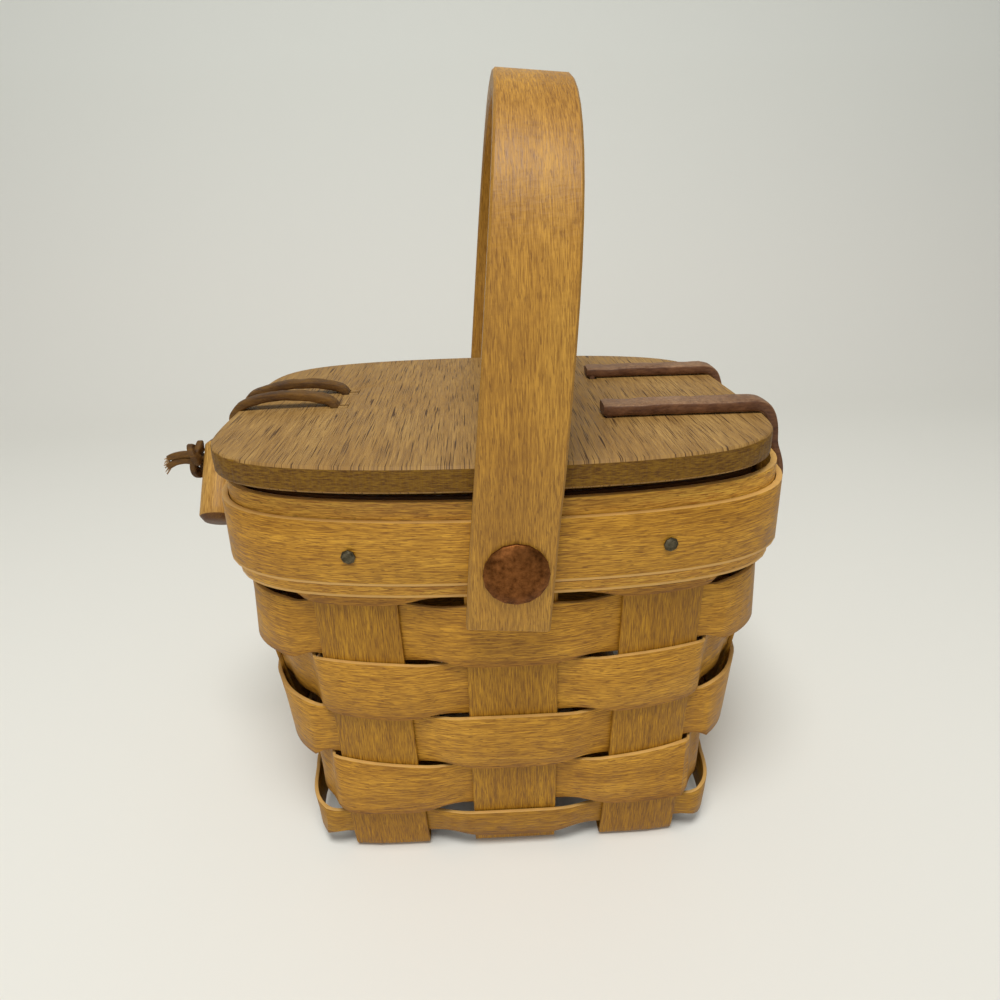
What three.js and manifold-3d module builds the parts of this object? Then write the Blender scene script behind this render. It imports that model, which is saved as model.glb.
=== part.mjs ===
// Small woven splint basket purse with a hardwood lid, a swing handle and a toggle closure.
// Millimetres, +Z up, front towards -Y, origin on the ground under the middle of the base.
import * as THREE from 'three';
import { mergeVertices } from 'three/addons/utils/BufferGeometryUtils.js';
import Module from 'manifold-3d';

const wasm = await Module();
wasm.setup();

// Splints
const SPLINT_THICKNESS = 1.3;
const CLEARANCE = 0.3;
const FRONT_STAKE_WIDTH = 25;
const CENTRE_STAKE_WIDTH = 27;
const SIDE_STAKE_WIDTH = 25;
const FRONT_STAKE_X_AT_BASE = 41.5;
const FRONT_STAKE_X_AT_RIM = 45.5;
const SIDE_STAKE_Y_AT_BASE = 20;
const SIDE_STAKE_Y_AT_RIM = 22;
const BASE_BEND_RADIUS = 2.4;
const BASE_CROSSING_RAMP = 4.6;

// Weaver rows, numbered from the rim down, with their widths where they cross between stakes
const BOTTOM_ROW_LOW = 7;
const BOTTOM_ROW_WIDTH = 9.5;
const LOWEST_FULL_ROW_MIDDLE = 29.05;
const ROW_PITCH = 19.2;
const ROW_WIDTH = 17.3;
const TOP_ROW_GAP = 3.1;
const TOP_ROW_UNDER_BAND = 6;
const OUTER_LOW_SPREAD = 1.7;
const INNER_LOW_SPREAD = 1;
const HIGH_SPREAD = 1;
const BOTTOM_ROW_HIGH_SPREAD = 0.4;
const CORNER_RAMP = 8;
const CORNER_PULL = 2.2;
const TOP_ROW_CORNER_PULL = 0.6;
const CORNER_TILT = 0.8;

// Wall, as the middle of the stakes
const RIM_HALF_LENGTH = 80.4;
const RIM_HALF_DEPTH = 60;
const END_FLARE = 16.1;
const SIDE_FLARE = 1.8;
const SIDE_BELLY = 3;
const END_BELLY = 2.5;
const BASE_END_SQUARENESS = 10;
const MIDDLE_END_SQUARENESS = 2.5;
const RIM_END_SQUARENESS = 2;
const BASE_SIDE_SQUARENESS = 10;
const MIDDLE_SIDE_SQUARENESS = 4.8;
const RIM_SIDE_SQUARENESS = 6.2;
const SQUARE_BASE_HEIGHT = 45;
const FLAT_SIDES_FROM = 80;
const WALL_BULGE = 1.7;

// Rim bands
const BAND_THICKNESS = 1.8;
const BAND_ABOVE_TOP_ROW_EDGE = 2.6;
const WIDE_BAND_HEIGHT = 28.9;
const INNER_BAND_DROP = 1.4;
const TRIM_BAND_HEIGHT = 19.1;
const TRIM_BAND_RISE = 4.8;
const STAKE_TOP_DROP = 3;

// Nails and rivets
const NAIL_HEAD_RADIUS = 2.1;
const NAIL_HEAD_HEIGHT = 0.9;
const NAIL_SHANK_RADIUS = 0.7;
const NAIL_SIDES = 8;
const NAIL_X = 43.2;
const NAIL_RISE = 9.1;
const RIVET_HEAD_RADIUS = 9;
const RIVET_HEAD_HEIGHT = 2.4;
const RIVET_SHANK_RADIUS = 2.4;
const RIVET_SIDES = 16;
const BURR_RADIUS = 6.5;
const BURR_THICKNESS = 1;
const PEEN_RADIUS = 3.6;
const PEEN_END_RADIUS = 2.52;
const PEEN_HEIGHT = 1.4;
const PEEN_ROUND_FROM = 1.12;
const PIVOT_RISE = 6.5;
const PIVOT_X = 1;

// Handle
const HANDLE_END_WIDTH = 23.3;
const HANDLE_CROWN_WIDTH = 20.3;
const HANDLE_THICKNESS = 5.5;
const HANDLE_SIDE_GAP = 0.4;
const HANDLE_RISE = 123.8;
const HANDLE_END_BELOW_PIVOT = 18.2;
const HANDLE_PIVOT_OFF_MIDDLE = 1;
const HANDLE_FLARE = 2.4;
const HANDLE_FLARE_TOP = 32.2;
const HANDLE_FLARE_FROM = 0.25;
const HANDLE_STRAIGHT = 43.2;
const HANDLE_ARCH_SQUARENESS = 2.65;
const HANDLE_EDGE_ROUND = 0.6;
const HANDLE_LEAN = 4.55 * Math.PI / 180;

// Lid
const LID_END_OVERHANG = 3.1;
const LID_SIDE_OVERHANG = 7;
const LID_THICKNESS = 7.5;
const LID_EDGE_ROUND = 0.7;
const LID_END_SQUARENESS = 2.36;
const LID_SIDE_SQUARENESS = 6;
const LID_SHIFT_X = -2.8;
const LID_SHIFT_Y = -0.8;
const LID_TILT = 0.12 * Math.PI / 180;
const LID_RISE_AT_HINGE = 3.67;
const HINGE_AXIS_BEYOND_LID = 7.6;

// Hinge straps
const STRAP_WIDTH = 7;
const STRAP_THICKNESS = 2.3;
const STRAP_TAIL = 9;
const STRAP_SLOT_BEND = 0.2;
const STRAP_EDGE_BEND = 7;
const STRAP_END_RISE = 1.2;
const STRAP_NAIL_RISE = 6.7;
const FRONT_STRAP_X = 33;
const FRONT_STRAP_Y = -25.5;
const BACK_STRAP_X = 36;
const BACK_STRAP_Y = 25;

// Closure loop
const LACE_WIDTH = 6.5;
const LACE_THICKNESS = 2.4;
const LACE_TAIL = 7;
const LACE_ARCH = 2.4;
const LACE_SWELL = 0.6;
const LACE_SLOT_BEND = 0.6;
const LACE_EDGE_BEND = 0.9;
const FRONT_SLOT_X = -54.5;
const FRONT_SLOT_Y = -4.8;
const BACK_SLOT_X = -53.5;
const BACK_SLOT_Y = 12.5;
const SLIT_EXTRA = 2.6;
const LOOP_FRONT_Y = -6.5;
const LOOP_BACK_Y = 8.5;
const LOOP_END_RISE = 5.8;

// Toggle and its thong
const TOGGLE_RADIUS = 6.35;
const TOGGLE_LENGTH = 32;
const TOGGLE_CHAMFER = 1.6;
const TOGGLE_SIDES = 20;
const TOGGLE_HOLE_FROM_END = 22.5;
const TOGGLE_SLOPE = 50 * Math.PI / 180;
const TOGGLE_STANDOFF = 1;
const THONG_RADIUS = 1.5;
const THONG_Y = 0.5;
const THONG_RISE = 16;
const THONG_SIDES = 12;
const STOP_KNOT_RADIUS = 3.6;
const STOP_KNOT_END_RADIUS = 2.16;
const STOP_KNOT_LENGTH = 5.4;
const KNOT_RADIUS = 4.6;
const KNOT_START_RADIUS = 3.22;
const KNOT_END_RADIUS = 2.76;
const KNOT_SHOULDER = 0.2;
const KNOT_TAPER = 0.3;
const KNOT_STRAND_RADIUS = 1.6;
const KNOT_STRAND_TILT = 24 * Math.PI / 180;
const TAIL_LENGTH = 5.5;
const TAIL_WIDTH = 4.2;
const TAIL_THICKNESS = 2;
const TAIL_DROOP = 1.5;
const TAIL_IN_KNOT = 1.5;

// Places that follow from the sizes above
const HALF_SPLINT = SPLINT_THICKNESS / 2;
const BASE_HALF_LENGTH = RIM_HALF_LENGTH - END_FLARE;
const BASE_HALF_DEPTH = RIM_HALF_DEPTH - SIDE_FLARE;
const WEAVE_OFFSET = SPLINT_THICKNESS + CLEARANCE;
const BOTTOM_ROW_HIGH = BOTTOM_ROW_LOW + BOTTOM_ROW_WIDTH;
const TOP_ROW_LOW = LOWEST_FULL_ROW_MIDDLE + 3 * ROW_PITCH + ROW_WIDTH / 2 + TOP_ROW_GAP;
const WALL_STRAIGHT_FROM = TOP_ROW_LOW - OUTER_LOW_SPREAD;
const WIDE_BAND_BOTTOM = TOP_ROW_LOW + BAND_ABOVE_TOP_ROW_EDGE;
const WIDE_BAND_TOP = WIDE_BAND_BOTTOM + WIDE_BAND_HEIGHT;
const TRIM_BAND_BOTTOM = WIDE_BAND_BOTTOM + TRIM_BAND_RISE;
const TRIM_BAND_TOP = TRIM_BAND_BOTTOM + TRIM_BAND_HEIGHT;
const NAIL_HEIGHT = TRIM_BAND_BOTTOM + NAIL_RISE;
const PIVOT_HEIGHT = TRIM_BAND_BOTTOM + PIVOT_RISE;
const THONG_HEIGHT = TRIM_BAND_BOTTOM + THONG_RISE;
const STRAP_BOTTOM = TRIM_BAND_BOTTOM + STRAP_END_RISE;
const STRAP_NAIL_HEIGHT = TRIM_BAND_BOTTOM + STRAP_NAIL_RISE;
const LOOP_BOTTOM = TRIM_BAND_BOTTOM + LOOP_END_RISE;
const BAND_INNER_OFFSET = WEAVE_OFFSET + HALF_SPLINT + CLEARANCE;
const WIDE_BAND_OFFSET = BAND_INNER_OFFSET + BAND_THICKNESS;
const TRIM_INNER_OFFSET = WIDE_BAND_OFFSET + CLEARANCE;
const TRIM_OFFSET = TRIM_INNER_OFFSET + BAND_THICKNESS;
const STAKE_TOP = WIDE_BAND_TOP - STAKE_TOP_DROP;
const TRIM_FRONT = RIM_HALF_DEPTH + TRIM_OFFSET;
const TRIM_END = RIM_HALF_LENGTH + TRIM_OFFSET;
const HANDLE_INNER_Y = TRIM_FRONT + HANDLE_SIDE_GAP;
const HANDLE_MIDDLE_Y = HANDLE_INNER_Y + HANDLE_THICKNESS / 2;
const HANDLE_OUTER_Y = HANDLE_INNER_Y + HANDLE_THICKNESS;
const LID_HALF_LENGTH = RIM_HALF_LENGTH + LID_END_OVERHANG;
const LID_HALF_DEPTH = RIM_HALF_DEPTH + LID_SIDE_OVERHANG;
const LID_RIGHT_EDGE = LID_SHIFT_X + LID_HALF_LENGTH;
const HINGE_X = LID_RIGHT_EDGE + HINGE_AXIS_BEYOND_LID;
const HINGE_Z = WIDE_BAND_TOP + LID_RISE_AT_HINGE;
const RIVET_HOLE_RADIUS = RIVET_SHANK_RADIUS + CLEARANCE;
const NAIL_HOLE_RADIUS = NAIL_SHANK_RADIUS + CLEARANCE;
const THONG_HOLE_RADIUS = THONG_RADIUS + CLEARANCE;
const TOGGLE_X = -(TRIM_END + CLEARANCE + LACE_THICKNESS + TOGGLE_STANDOFF + TOGGLE_RADIUS);
const KNOT_LENGTH = 2 * (KNOT_RADIUS * Math.sin(KNOT_STRAND_TILT) + KNOT_STRAND_RADIUS);
const DRILL_LENGTH = 40;
const DRILL_SIDES = 8;
const WELD_DISTANCE = 1e-4;
const ALONG_X = new THREE.Vector3(1, 0, 0);
const ALONG_Y = new THREE.Vector3(0, 1, 0);

// Materials
const weaverWood = new THREE.MeshStandardMaterial({ color: 0xc08a3e, roughness: 0.5, metalness: 0 });
const stakeWood = new THREE.MeshStandardMaterial({ color: 0xb8843c, roughness: 0.55, metalness: 0 });
const handleWood = new THREE.MeshStandardMaterial({ color: 0xc58c3b, roughness: 0.4, metalness: 0 });
const lidWood = new THREE.MeshStandardMaterial({ color: 0xa07a4e, roughness: 0.6, metalness: 0 });
const toggleWood = new THREE.MeshStandardMaterial({ color: 0xd0a868, roughness: 0.55, metalness: 0 });
const leather = new THREE.MeshStandardMaterial({ color: 0x5a3524, roughness: 0.7, metalness: 0 });
const copper = new THREE.MeshStandardMaterial({ color: 0x7a452c, roughness: 0.45, metalness: 0.9 });
const steel = new THREE.MeshStandardMaterial({ color: 0x6a6e6e, roughness: 0.4, metalness: 0.9 });

const group = new THREE.Group();

function addPiece(name, geometry, material, parent = group) {
  const mesh = new THREE.Mesh(geometry, material);
  mesh.name = name;
  parent.add(mesh);
  return mesh;
}

// Solids from cross-sections, and cuts
function signedVolume(points, index) {
  let sum = 0;
  for (let i = 0; i < index.length; i += 3) {
    const [a, b, c] = [points[index[i]], points[index[i + 1]], points[index[i + 2]]];
    sum += a.dot(new THREE.Vector3().crossVectors(b, c));
  }
  return sum / 6;
}

function solidFrom(points, index) {
  const turned = signedVolume(points, index) < 0 ? [...index].reverse() : index;
  const geometry = new THREE.BufferGeometry().setFromPoints(points);
  geometry.setIndex(turned);
  const faceted = geometry.toNonIndexed();
  faceted.computeVertexNormals();
  return faceted;
}

// A solid through a row of cross-sections that all have the same number of corners
function loft(sections, closed) {
  const corners = sections[0].length;
  const index = [];
  const spans = closed ? sections.length : sections.length - 1;
  for (let s = 0; s < spans; s++) {
    const here = s * corners;
    const next = ((s + 1) % sections.length) * corners;
    for (let c = 0; c < corners; c++) {
      const d = (c + 1) % corners;
      index.push(here + c, here + d, next + d, here + c, next + d, next + c);
    }
  }
  if (!closed) {
    const last = (sections.length - 1) * corners;
    const cap = THREE.ShapeUtils.triangulateShape(flatten(sections[0]), []);
    for (const [a, b, c] of cap) {
      index.push(a, c, b, last + a, last + b, last + c);
    }
  }
  return solidFrom(sections.flat(), index);
}

// The corners of one cross-section as a plane outline, turning counter-clockwise
function flatten(section) {
  const origin = section[0];
  const along = section[1].clone().sub(origin).normalize();
  const far = section[Math.floor(section.length / 2) + 1].clone().sub(origin);
  const across = far.clone().addScaledVector(along, -far.dot(along)).normalize();
  return section.map((p) => {
    const q = p.clone().sub(origin);
    return new THREE.Vector2(q.dot(along), q.dot(across));
  });
}

function toSolid(geometry) {
  const bare = geometry.clone();
  bare.deleteAttribute('normal');
  bare.deleteAttribute('uv');
  const welded = mergeVertices(bare, WELD_DISTANCE);
  return new wasm.Manifold(new wasm.Mesh({
    numProp: 3,
    vertProperties: new Float32Array(welded.attributes.position.array),
    triVerts: new Uint32Array(welded.index.array),
  }));
}

function toGeometry(solid) {
  const mesh = solid.getMesh();
  const geometry = new THREE.BufferGeometry();
  geometry.setAttribute('position', new THREE.BufferAttribute(new Float32Array(mesh.vertProperties), 3));
  geometry.setIndex([...mesh.triVerts]);
  const faceted = geometry.toNonIndexed();
  faceted.computeVertexNormals();
  return faceted;
}

function joined(geometries) {
  return toGeometry(geometries.map(toSolid).reduce((whole, piece) => whole.add(piece)));
}

function cut(geometry, tools) {
  return toGeometry(tools.map(toSolid).reduce((whole, tool) => whole.subtract(tool), toSolid(geometry)));
}

// A round drill along a direction, centred on a point
function drill(point, direction, radius) {
  const geometry = new THREE.CylinderGeometry(radius, radius, DRILL_LENGTH, DRILL_SIDES);
  geometry.applyQuaternion(new THREE.Quaternion().setFromUnitVectors(ALONG_Y, direction));
  geometry.translate(point.x, point.y, point.z);
  return geometry;
}

// The wall: a rounded rectangle in plan that widens and rounds off from the base to the rim
function eased(atBase, atRim, z) {
  const t = THREE.MathUtils.clamp(z / WALL_STRAIGHT_FROM, 0, 1);
  return atBase + (atRim - atBase) * (1 - (1 - t) ** WALL_BULGE);
}

function blended(from, to, z, start, end) {
  return THREE.MathUtils.lerp(from, to, THREE.MathUtils.clamp((z - start) / (end - start), 0, 1));
}

function squareness(atBase, inMiddle, atRim, z, start, end) {
  const low = THREE.MathUtils.lerp(atBase, inMiddle, THREE.MathUtils.smoothstep(z, 0, SQUARE_BASE_HEIGHT));
  return blended(low, atRim, z, start, end);
}

function wallPlan(z) {
  const t = THREE.MathUtils.clamp(z / WALL_STRAIGHT_FROM, 0, 1);
  return {
    a: eased(BASE_HALF_LENGTH, RIM_HALF_LENGTH, z) + END_BELLY * Math.sin(Math.PI * t ** 3),
    b: eased(BASE_HALF_DEPTH, RIM_HALF_DEPTH, z) + SIDE_BELLY * Math.sin(Math.PI * t),
    n: squareness(BASE_END_SQUARENESS, MIDDLE_END_SQUARENESS, RIM_END_SQUARENESS, z,
      WIDE_BAND_BOTTOM, WIDE_BAND_TOP),
    m: squareness(BASE_SIDE_SQUARENESS, MIDDLE_SIDE_SQUARENESS, RIM_SIDE_SQUARENESS, z,
      FLAT_SIDES_FROM, WALL_STRAIGHT_FROM),
  };
}

function planNormal({ a, b, n, m }, x, y) {
  const gx = Math.sign(x) * n * Math.abs(x / a) ** (n - 1) / a;
  const gy = Math.sign(y) * m * Math.abs(y / b) ** (m - 1) / b;
  return new THREE.Vector3(gx, gy, 0).normalize();
}

// The plan's outline runs in eight turns from the middle of the front, towards +X first: in each
// quarter one turn has even steps along the front or back, the other along the end
function outlinePoint({ a, b, n, m }, turns) {
  const quarter = Math.min(Math.floor(turns / 2), 3);
  const within = quarter % 2 === 0 ? turns - 2 * quarter : 2 * quarter + 2 - turns;
  const nearFront = within < 1;
  const across = nearFront ? 0.5 ** (1 / n) * within : 0.5 ** (1 / m) * (2 - within);
  const x = a * (nearFront ? across : (1 - across ** m) ** (1 / n));
  const y = b * (nearFront ? (1 - across ** n) ** (1 / m) : across);
  return new THREE.Vector2(quarter < 2 ? x : -x, quarter === 1 || quarter === 2 ? y : -y);
}

function turnsAt({ a, b, n, m }, { x, y }) {
  const nearFront = Math.abs(x / a) ** n < 0.5;
  const within = nearFront ? Math.abs(x / a) / 0.5 ** (1 / n) : 2 - Math.abs(y / b) / 0.5 ** (1 / m);
  const onRight = x >= 0;
  const onFront = y < 0;
  const quarter = onRight ? (onFront ? 0 : 1) : (onFront ? 3 : 2);
  return 2 * quarter + (quarter % 2 === 0 ? within : 2 - within);
}

const OUTLINE_STEPS = 1440;
const STEPS_PER_TURN = OUTLINE_STEPS / 8;

function outlineOf(plan) {
  const points = [outlinePoint(plan, 0)];
  const lengths = [0];
  for (let i = 1; i <= OUTLINE_STEPS; i++) {
    points.push(outlinePoint(plan, i / STEPS_PER_TURN));
    lengths.push(lengths[i - 1] + points[i].distanceTo(points[i - 1]));
  }
  return { plan, points, lengths, total: lengths[OUTLINE_STEPS] };
}

// How far round the outline a point of it lies
function lengthAt({ plan, lengths }, point) {
  const steps = turnsAt(plan, point) * STEPS_PER_TURN;
  const k = Math.min(Math.floor(steps), OUTLINE_STEPS - 1);
  return THREE.MathUtils.lerp(lengths[k], lengths[k + 1], steps - k);
}

// The point and the outward direction at a length round the outline
function pointAt({ plan, points, lengths, total }, length) {
  const want = length % total;
  const k = lengths.findIndex((end) => end > want) - 1;
  const p = points[k].clone().lerp(points[k + 1], (want - lengths[k]) / (lengths[k + 1] - lengths[k]));
  return { x: p.x, y: p.y, normal: planNormal(plan, p.x, p.y) };
}

function offsetPoint(p, z, offset) {
  return new THREE.Vector3(p.x + p.normal.x * offset, p.y + p.normal.y * offset, z);
}

// Where the wall stands at a height: a point on the front or back at x, or on an end at y
function wallPoint(side, along, z) {
  const plan = wallPlan(z);
  const onFront = side === 'front' || side === 'back';
  const [reach, run, p, q] = onFront ? [plan.b, plan.a, plan.m, plan.n] : [plan.a, plan.b, plan.n, plan.m];
  const out = reach * (1 - Math.abs(along / run) ** q) ** (1 / p);
  const sign = side === 'front' || side === 'left' ? -1 : 1;
  const x = onFront ? along : sign * out;
  const y = onFront ? sign * out : along;
  return { x, y, normal: planNormal(plan, x, y) };
}

// Stakes: splints that run down one wall, across the base and up the other wall
const frontStakeX = (z) => blended(FRONT_STAKE_X_AT_BASE, FRONT_STAKE_X_AT_RIM, z, 0, WIDE_BAND_BOTTOM);
const sideStakeY = (z) => blended(SIDE_STAKE_Y_AT_BASE, SIDE_STAKE_Y_AT_RIM, z, 0, WIDE_BAND_BOTTOM);
const FRONT_STAKES = [
  { name: 'stake_front_left', lane: (z) => -frontStakeX(z), width: FRONT_STAKE_WIDTH },
  { name: 'stake_front_centre', lane: () => 0, width: CENTRE_STAKE_WIDTH },
  { name: 'stake_front_right', lane: frontStakeX, width: FRONT_STAKE_WIDTH },
];
const SIDE_STAKES = [
  { name: 'stake_side_front', lane: (z) => -sideStakeY(z), width: SIDE_STAKE_WIDTH },
  { name: 'stake_side_back', lane: sideStakeY, width: SIDE_STAKE_WIDTH },
];
const STAKE_CORNERS = 4;
const BEND_STEPS = 3;
const BEND_TOP = BASE_BEND_RADIUS + HALF_SPLINT;
const STATION_GAP = 0.2;

// Places across a stake, from one edge to the other
function acrossStake(width) {
  const places = [];
  for (let c = 0; c < STAKE_CORNERS; c++) {
    places.push(width * (c / (STAKE_CORNERS - 1) - 0.5));
  }
  return places;
}

// Heights where a stake's wall changes slope, from the top down: between the rows
const STAKE_HEIGHTS = [STAKE_TOP, WIDE_BAND_BOTTOM, WALL_STRAIGHT_FROM];
for (let row = 2.5; row >= 0.5; row--) {
  STAKE_HEIGHTS.push(LOWEST_FULL_ROW_MIDDLE + row * ROW_PITCH);
}
STAKE_HEIGHTS.push(
  LOWEST_FULL_ROW_MIDDLE - ROW_WIDTH / 2 - OUTER_LOW_SPREAD,
  BOTTOM_ROW_LOW - OUTER_LOW_SPREAD,
  BEND_TOP,
);

// How far a stake is raised in the base, where it passes over the stakes that cross it
function baseLift(position, crossed) {
  let lift = 0;
  for (const { centre, width } of crossed) {
    const past = Math.abs(position - centre) - width / 2 - CLEARANCE;
    lift = Math.max(lift, 1 - THREE.MathUtils.smoothstep(past, 0, BASE_CROSSING_RAMP));
  }
  return lift * (SPLINT_THICKNESS + CLEARANCE);
}

// Places along the base where a stake's height changes, and the flats between them
function baseStations(limit, crossed) {
  const stations = [-limit, 0, limit];
  for (const { centre, width } of crossed) {
    for (const side of [-1, 1]) {
      for (const t of [0, 0.5, 1]) {
        stations.push(centre + side * (width / 2 + CLEARANCE + t * BASE_CROSSING_RAMP));
      }
    }
  }
  const kept = stations.filter((v) => Math.abs(v) <= limit).sort((p, q) => p - q);
  return kept.filter((v, i) => i === 0 || v - kept[i - 1] > STATION_GAP);
}

function makeStake({ lane, width }, lowSide, highSide, crossed) {
  const onFront = lowSide === 'front';
  const across = onFront ? acrossStake(width) : acrossStake(width).reverse();
  const downward = new THREE.Vector3(0, 0, -1);
  const makeSection = (pointAt) => {
    const outer = across.map((shift) => pointAt(shift, HALF_SPLINT));
    const inner = across.map((shift) => pointAt(shift, -HALF_SPLINT));
    return [...outer, ...inner.reverse()];
  };
  const wallSection = (side, z) => makeSection((shift, offset) => {
    const p = wallPoint(side, lane(z) + shift, z);
    return offsetPoint(p, z, offset);
  });
  const bendSection = (side, angle) => makeSection((shift, offset) => {
    const p = wallPoint(side, lane(BEND_TOP) + shift, BEND_TOP);
    const outward = onFront
      ? new THREE.Vector3(0, Math.sign(p.normal.y), 0)
      : new THREE.Vector3(Math.sign(p.normal.x), 0, 0);
    const radius = BASE_BEND_RADIUS + offset;
    const centre = new THREE.Vector3(p.x, p.y, BEND_TOP).addScaledVector(outward, -BASE_BEND_RADIUS);
    return centre
      .addScaledVector(outward, radius * Math.cos(angle))
      .addScaledVector(downward, radius * Math.sin(angle));
  });
  const baseLimit = Math.min(...across.map((shift) => {
    const p = wallPoint(lowSide, lane(BEND_TOP) + shift, BEND_TOP);
    return Math.abs(onFront ? p.y : p.x) - BASE_BEND_RADIUS;
  }));
  const baseSection = (position) => makeSection((shift, offset) => {
    const z = HALF_SPLINT + baseLift(position, crossed) - offset;
    const sideways = lane(0) + shift;
    return onFront ? new THREE.Vector3(sideways, position, z) : new THREE.Vector3(position, sideways, z);
  });
  const sections = STAKE_HEIGHTS.map((z) => wallSection(lowSide, z));
  for (let i = 1; i <= BEND_STEPS; i++) {
    sections.push(bendSection(lowSide, (i / BEND_STEPS) * Math.PI / 2));
  }
  const stations = baseStations(baseLimit, crossed).slice(1, -1);
  sections.push(...stations.map(baseSection));
  for (let i = BEND_STEPS; i >= 1; i--) {
    sections.push(bendSection(highSide, (i / BEND_STEPS) * Math.PI / 2));
  }
  sections.push(...[...STAKE_HEIGHTS].reverse().map((z) => wallSection(highSide, z)));
  return loft(sections, false);
}

// The stakes in the order that a ring meets them, from the middle of the front towards +X
const SIDE_ORDER = [
  { side: 'front', lane: () => 0, width: CENTRE_STAKE_WIDTH },
  { side: 'front', lane: frontStakeX, width: FRONT_STAKE_WIDTH, cornerAfter: true },
  { side: 'right', lane: (z) => -sideStakeY(z), width: SIDE_STAKE_WIDTH },
  { side: 'right', lane: sideStakeY, width: SIDE_STAKE_WIDTH, cornerBefore: true },
  { side: 'back', lane: frontStakeX, width: FRONT_STAKE_WIDTH },
  { side: 'back', lane: () => 0, width: CENTRE_STAKE_WIDTH },
  { side: 'back', lane: (z) => -frontStakeX(z), width: FRONT_STAKE_WIDTH, cornerAfter: true },
  { side: 'left', lane: sideStakeY, width: SIDE_STAKE_WIDTH },
  { side: 'left', lane: (z) => -sideStakeY(z), width: SIDE_STAKE_WIDTH, cornerBefore: true },
  { side: 'front', lane: (z) => -frontStakeX(z), width: FRONT_STAKE_WIDTH },
];
const CORNER_STEPS = 5;

// Stations between one stake and the next: how far along they are, which of the two stakes they
// go with, and how far a splint has crossed there from its side of that stake
function gapStations(i, span) {
  const crossed = (t) => THREE.MathUtils.smoothstep(t, 0, 1);
  const { cornerAfter, cornerBefore } = SIDE_ORDER[i];
  if (!cornerAfter && !cornerBefore) {
    return [1 / 3, 2 / 3].map((t) => ({ along: t * span, stop: i, crossed: crossed(t) }));
  }
  const stop = cornerAfter ? i : (i + 1) % SIDE_ORDER.length;
  const stations = [1 / 3, 2 / 3, 1].map((t) => ({ along: t * CORNER_RAMP, crossed: crossed(t) }));
  for (let k = 1; k <= CORNER_STEPS; k++) {
    stations.push({ along: THREE.MathUtils.lerp(CORNER_RAMP, span, k / (CORNER_STEPS + 1)), crossed: 1 });
  }
  const ordered = cornerAfter ? stations : stations.reverse().map((q) => ({ ...q, along: span - q.along }));
  return ordered.map((q) => ({ ...q, stop, corner: true }));
}

// The stations of a whole ring at one height, which line up with the facets of the stakes
const rings = new Map();

function ringAt(z) {
  if (!rings.has(z)) {
    const outline = outlineOf(wallPlan(z));
    const stops = SIDE_ORDER.map(({ side, lane, width }) => {
      const sign = side === 'back' || side === 'left' ? -1 : 1;
      const places = acrossStake(width).map((shift) => shift + Math.sign(shift) * CLEARANCE);
      return places.map((shift) => wallPoint(side, lane(z) + sign * shift, z));
    });
    const ring = [];
    for (const [i, stop] of stops.entries()) {
      ring.push(...stop.map((p) => ({ ...p, stop: i, crossed: 0 })));
      const from = lengthAt(outline, stop[stop.length - 1]);
      const upTo = lengthAt(outline, stops[(i + 1) % stops.length][0]);
      const span = (upTo - from + outline.total) % outline.total;
      for (const { along, ...station } of gapStations(i, span)) {
        ring.push({ ...pointAt(outline, from + along), ...station });
      }
    }
    rings.set(z, ring);
  }
  return rings.get(z);
}

// Weaver rows: each passes outside one stake and inside the next, and is widest where it passes.
// From outside a stake it cuts across the corner, and from inside it swings out round the corner.
const SPREAD_FROM = 0.5;

function makeRow({ row, low, high, highSpread = HIGH_SPREAD, pull = CORNER_PULL, tilt = CORNER_TILT }) {
  const sections = ringAt(low).map(({ stop, crossed, corner }, i) => {
    const side = (stop + row) % 2 === 0 ? -1 : 1;
    const cuts = corner && side > 0;
    const level = THREE.MathUtils.lerp(side, cuts ? -pull : -side, crossed);
    const lean = corner && !cuts ? tilt * crossed : 0;
    const spread = THREE.MathUtils.smoothstep(Math.abs(level), SPREAD_FROM, 1);
    const bottom = low - spread * (level > 0 ? OUTER_LOW_SPREAD : INNER_LOW_SPREAD);
    const top = high + spread * highSpread;
    const shift = WEAVE_OFFSET * level;
    return [
      offsetPoint(ringAt(bottom)[i], bottom, shift + lean + HALF_SPLINT),
      offsetPoint(ringAt(top)[i], top, shift - lean + HALF_SPLINT),
      offsetPoint(ringAt(top)[i], top, shift - lean - HALF_SPLINT),
      offsetPoint(ringAt(bottom)[i], bottom, shift + lean - HALF_SPLINT),
    ];
  });
  return loft(sections, true);
}

// Rim bands: plain rings that follow the rim
function makeBand(low, high, inner, outer) {
  const sections = ringAt(low).map((p, i) => [
    offsetPoint(p, low, outer),
    offsetPoint(ringAt(high)[i], high, outer),
    offsetPoint(ringAt(high)[i], high, inner),
    offsetPoint(p, low, inner),
  ]);
  return loft(sections, true);
}

// Fasteners: a revolved head and shank whose head looks along a direction
function revolved(profile, segments) {
  return new THREE.LatheGeometry(profile.map(([r, h]) => new THREE.Vector2(r, h)), segments);
}

function placed(geometry, point, direction) {
  geometry.applyQuaternion(new THREE.Quaternion().setFromUnitVectors(ALONG_Y, direction));
  geometry.translate(point.x, point.y, point.z);
  return geometry;
}

// Outlines of the two kinds of head, as parts of their radius and height
const NAIL_HEAD = [[1, 0], [1, 0.5], [0.75, 1], [0, 1]];
const RIVET_HEAD = [[1, 0], [1, 0.3], [0.92, 0.6], [0.6, 0.92], [0, 1]];

function makeNail(length) {
  return revolved([
    [0, -length],
    [NAIL_SHANK_RADIUS, -length + NAIL_SHANK_RADIUS],
    [NAIL_SHANK_RADIUS, 0],
    ...NAIL_HEAD.map(([r, h]) => [NAIL_HEAD_RADIUS * r, NAIL_HEAD_HEIGHT * h]),
  ], NAIL_SIDES);
}

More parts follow.
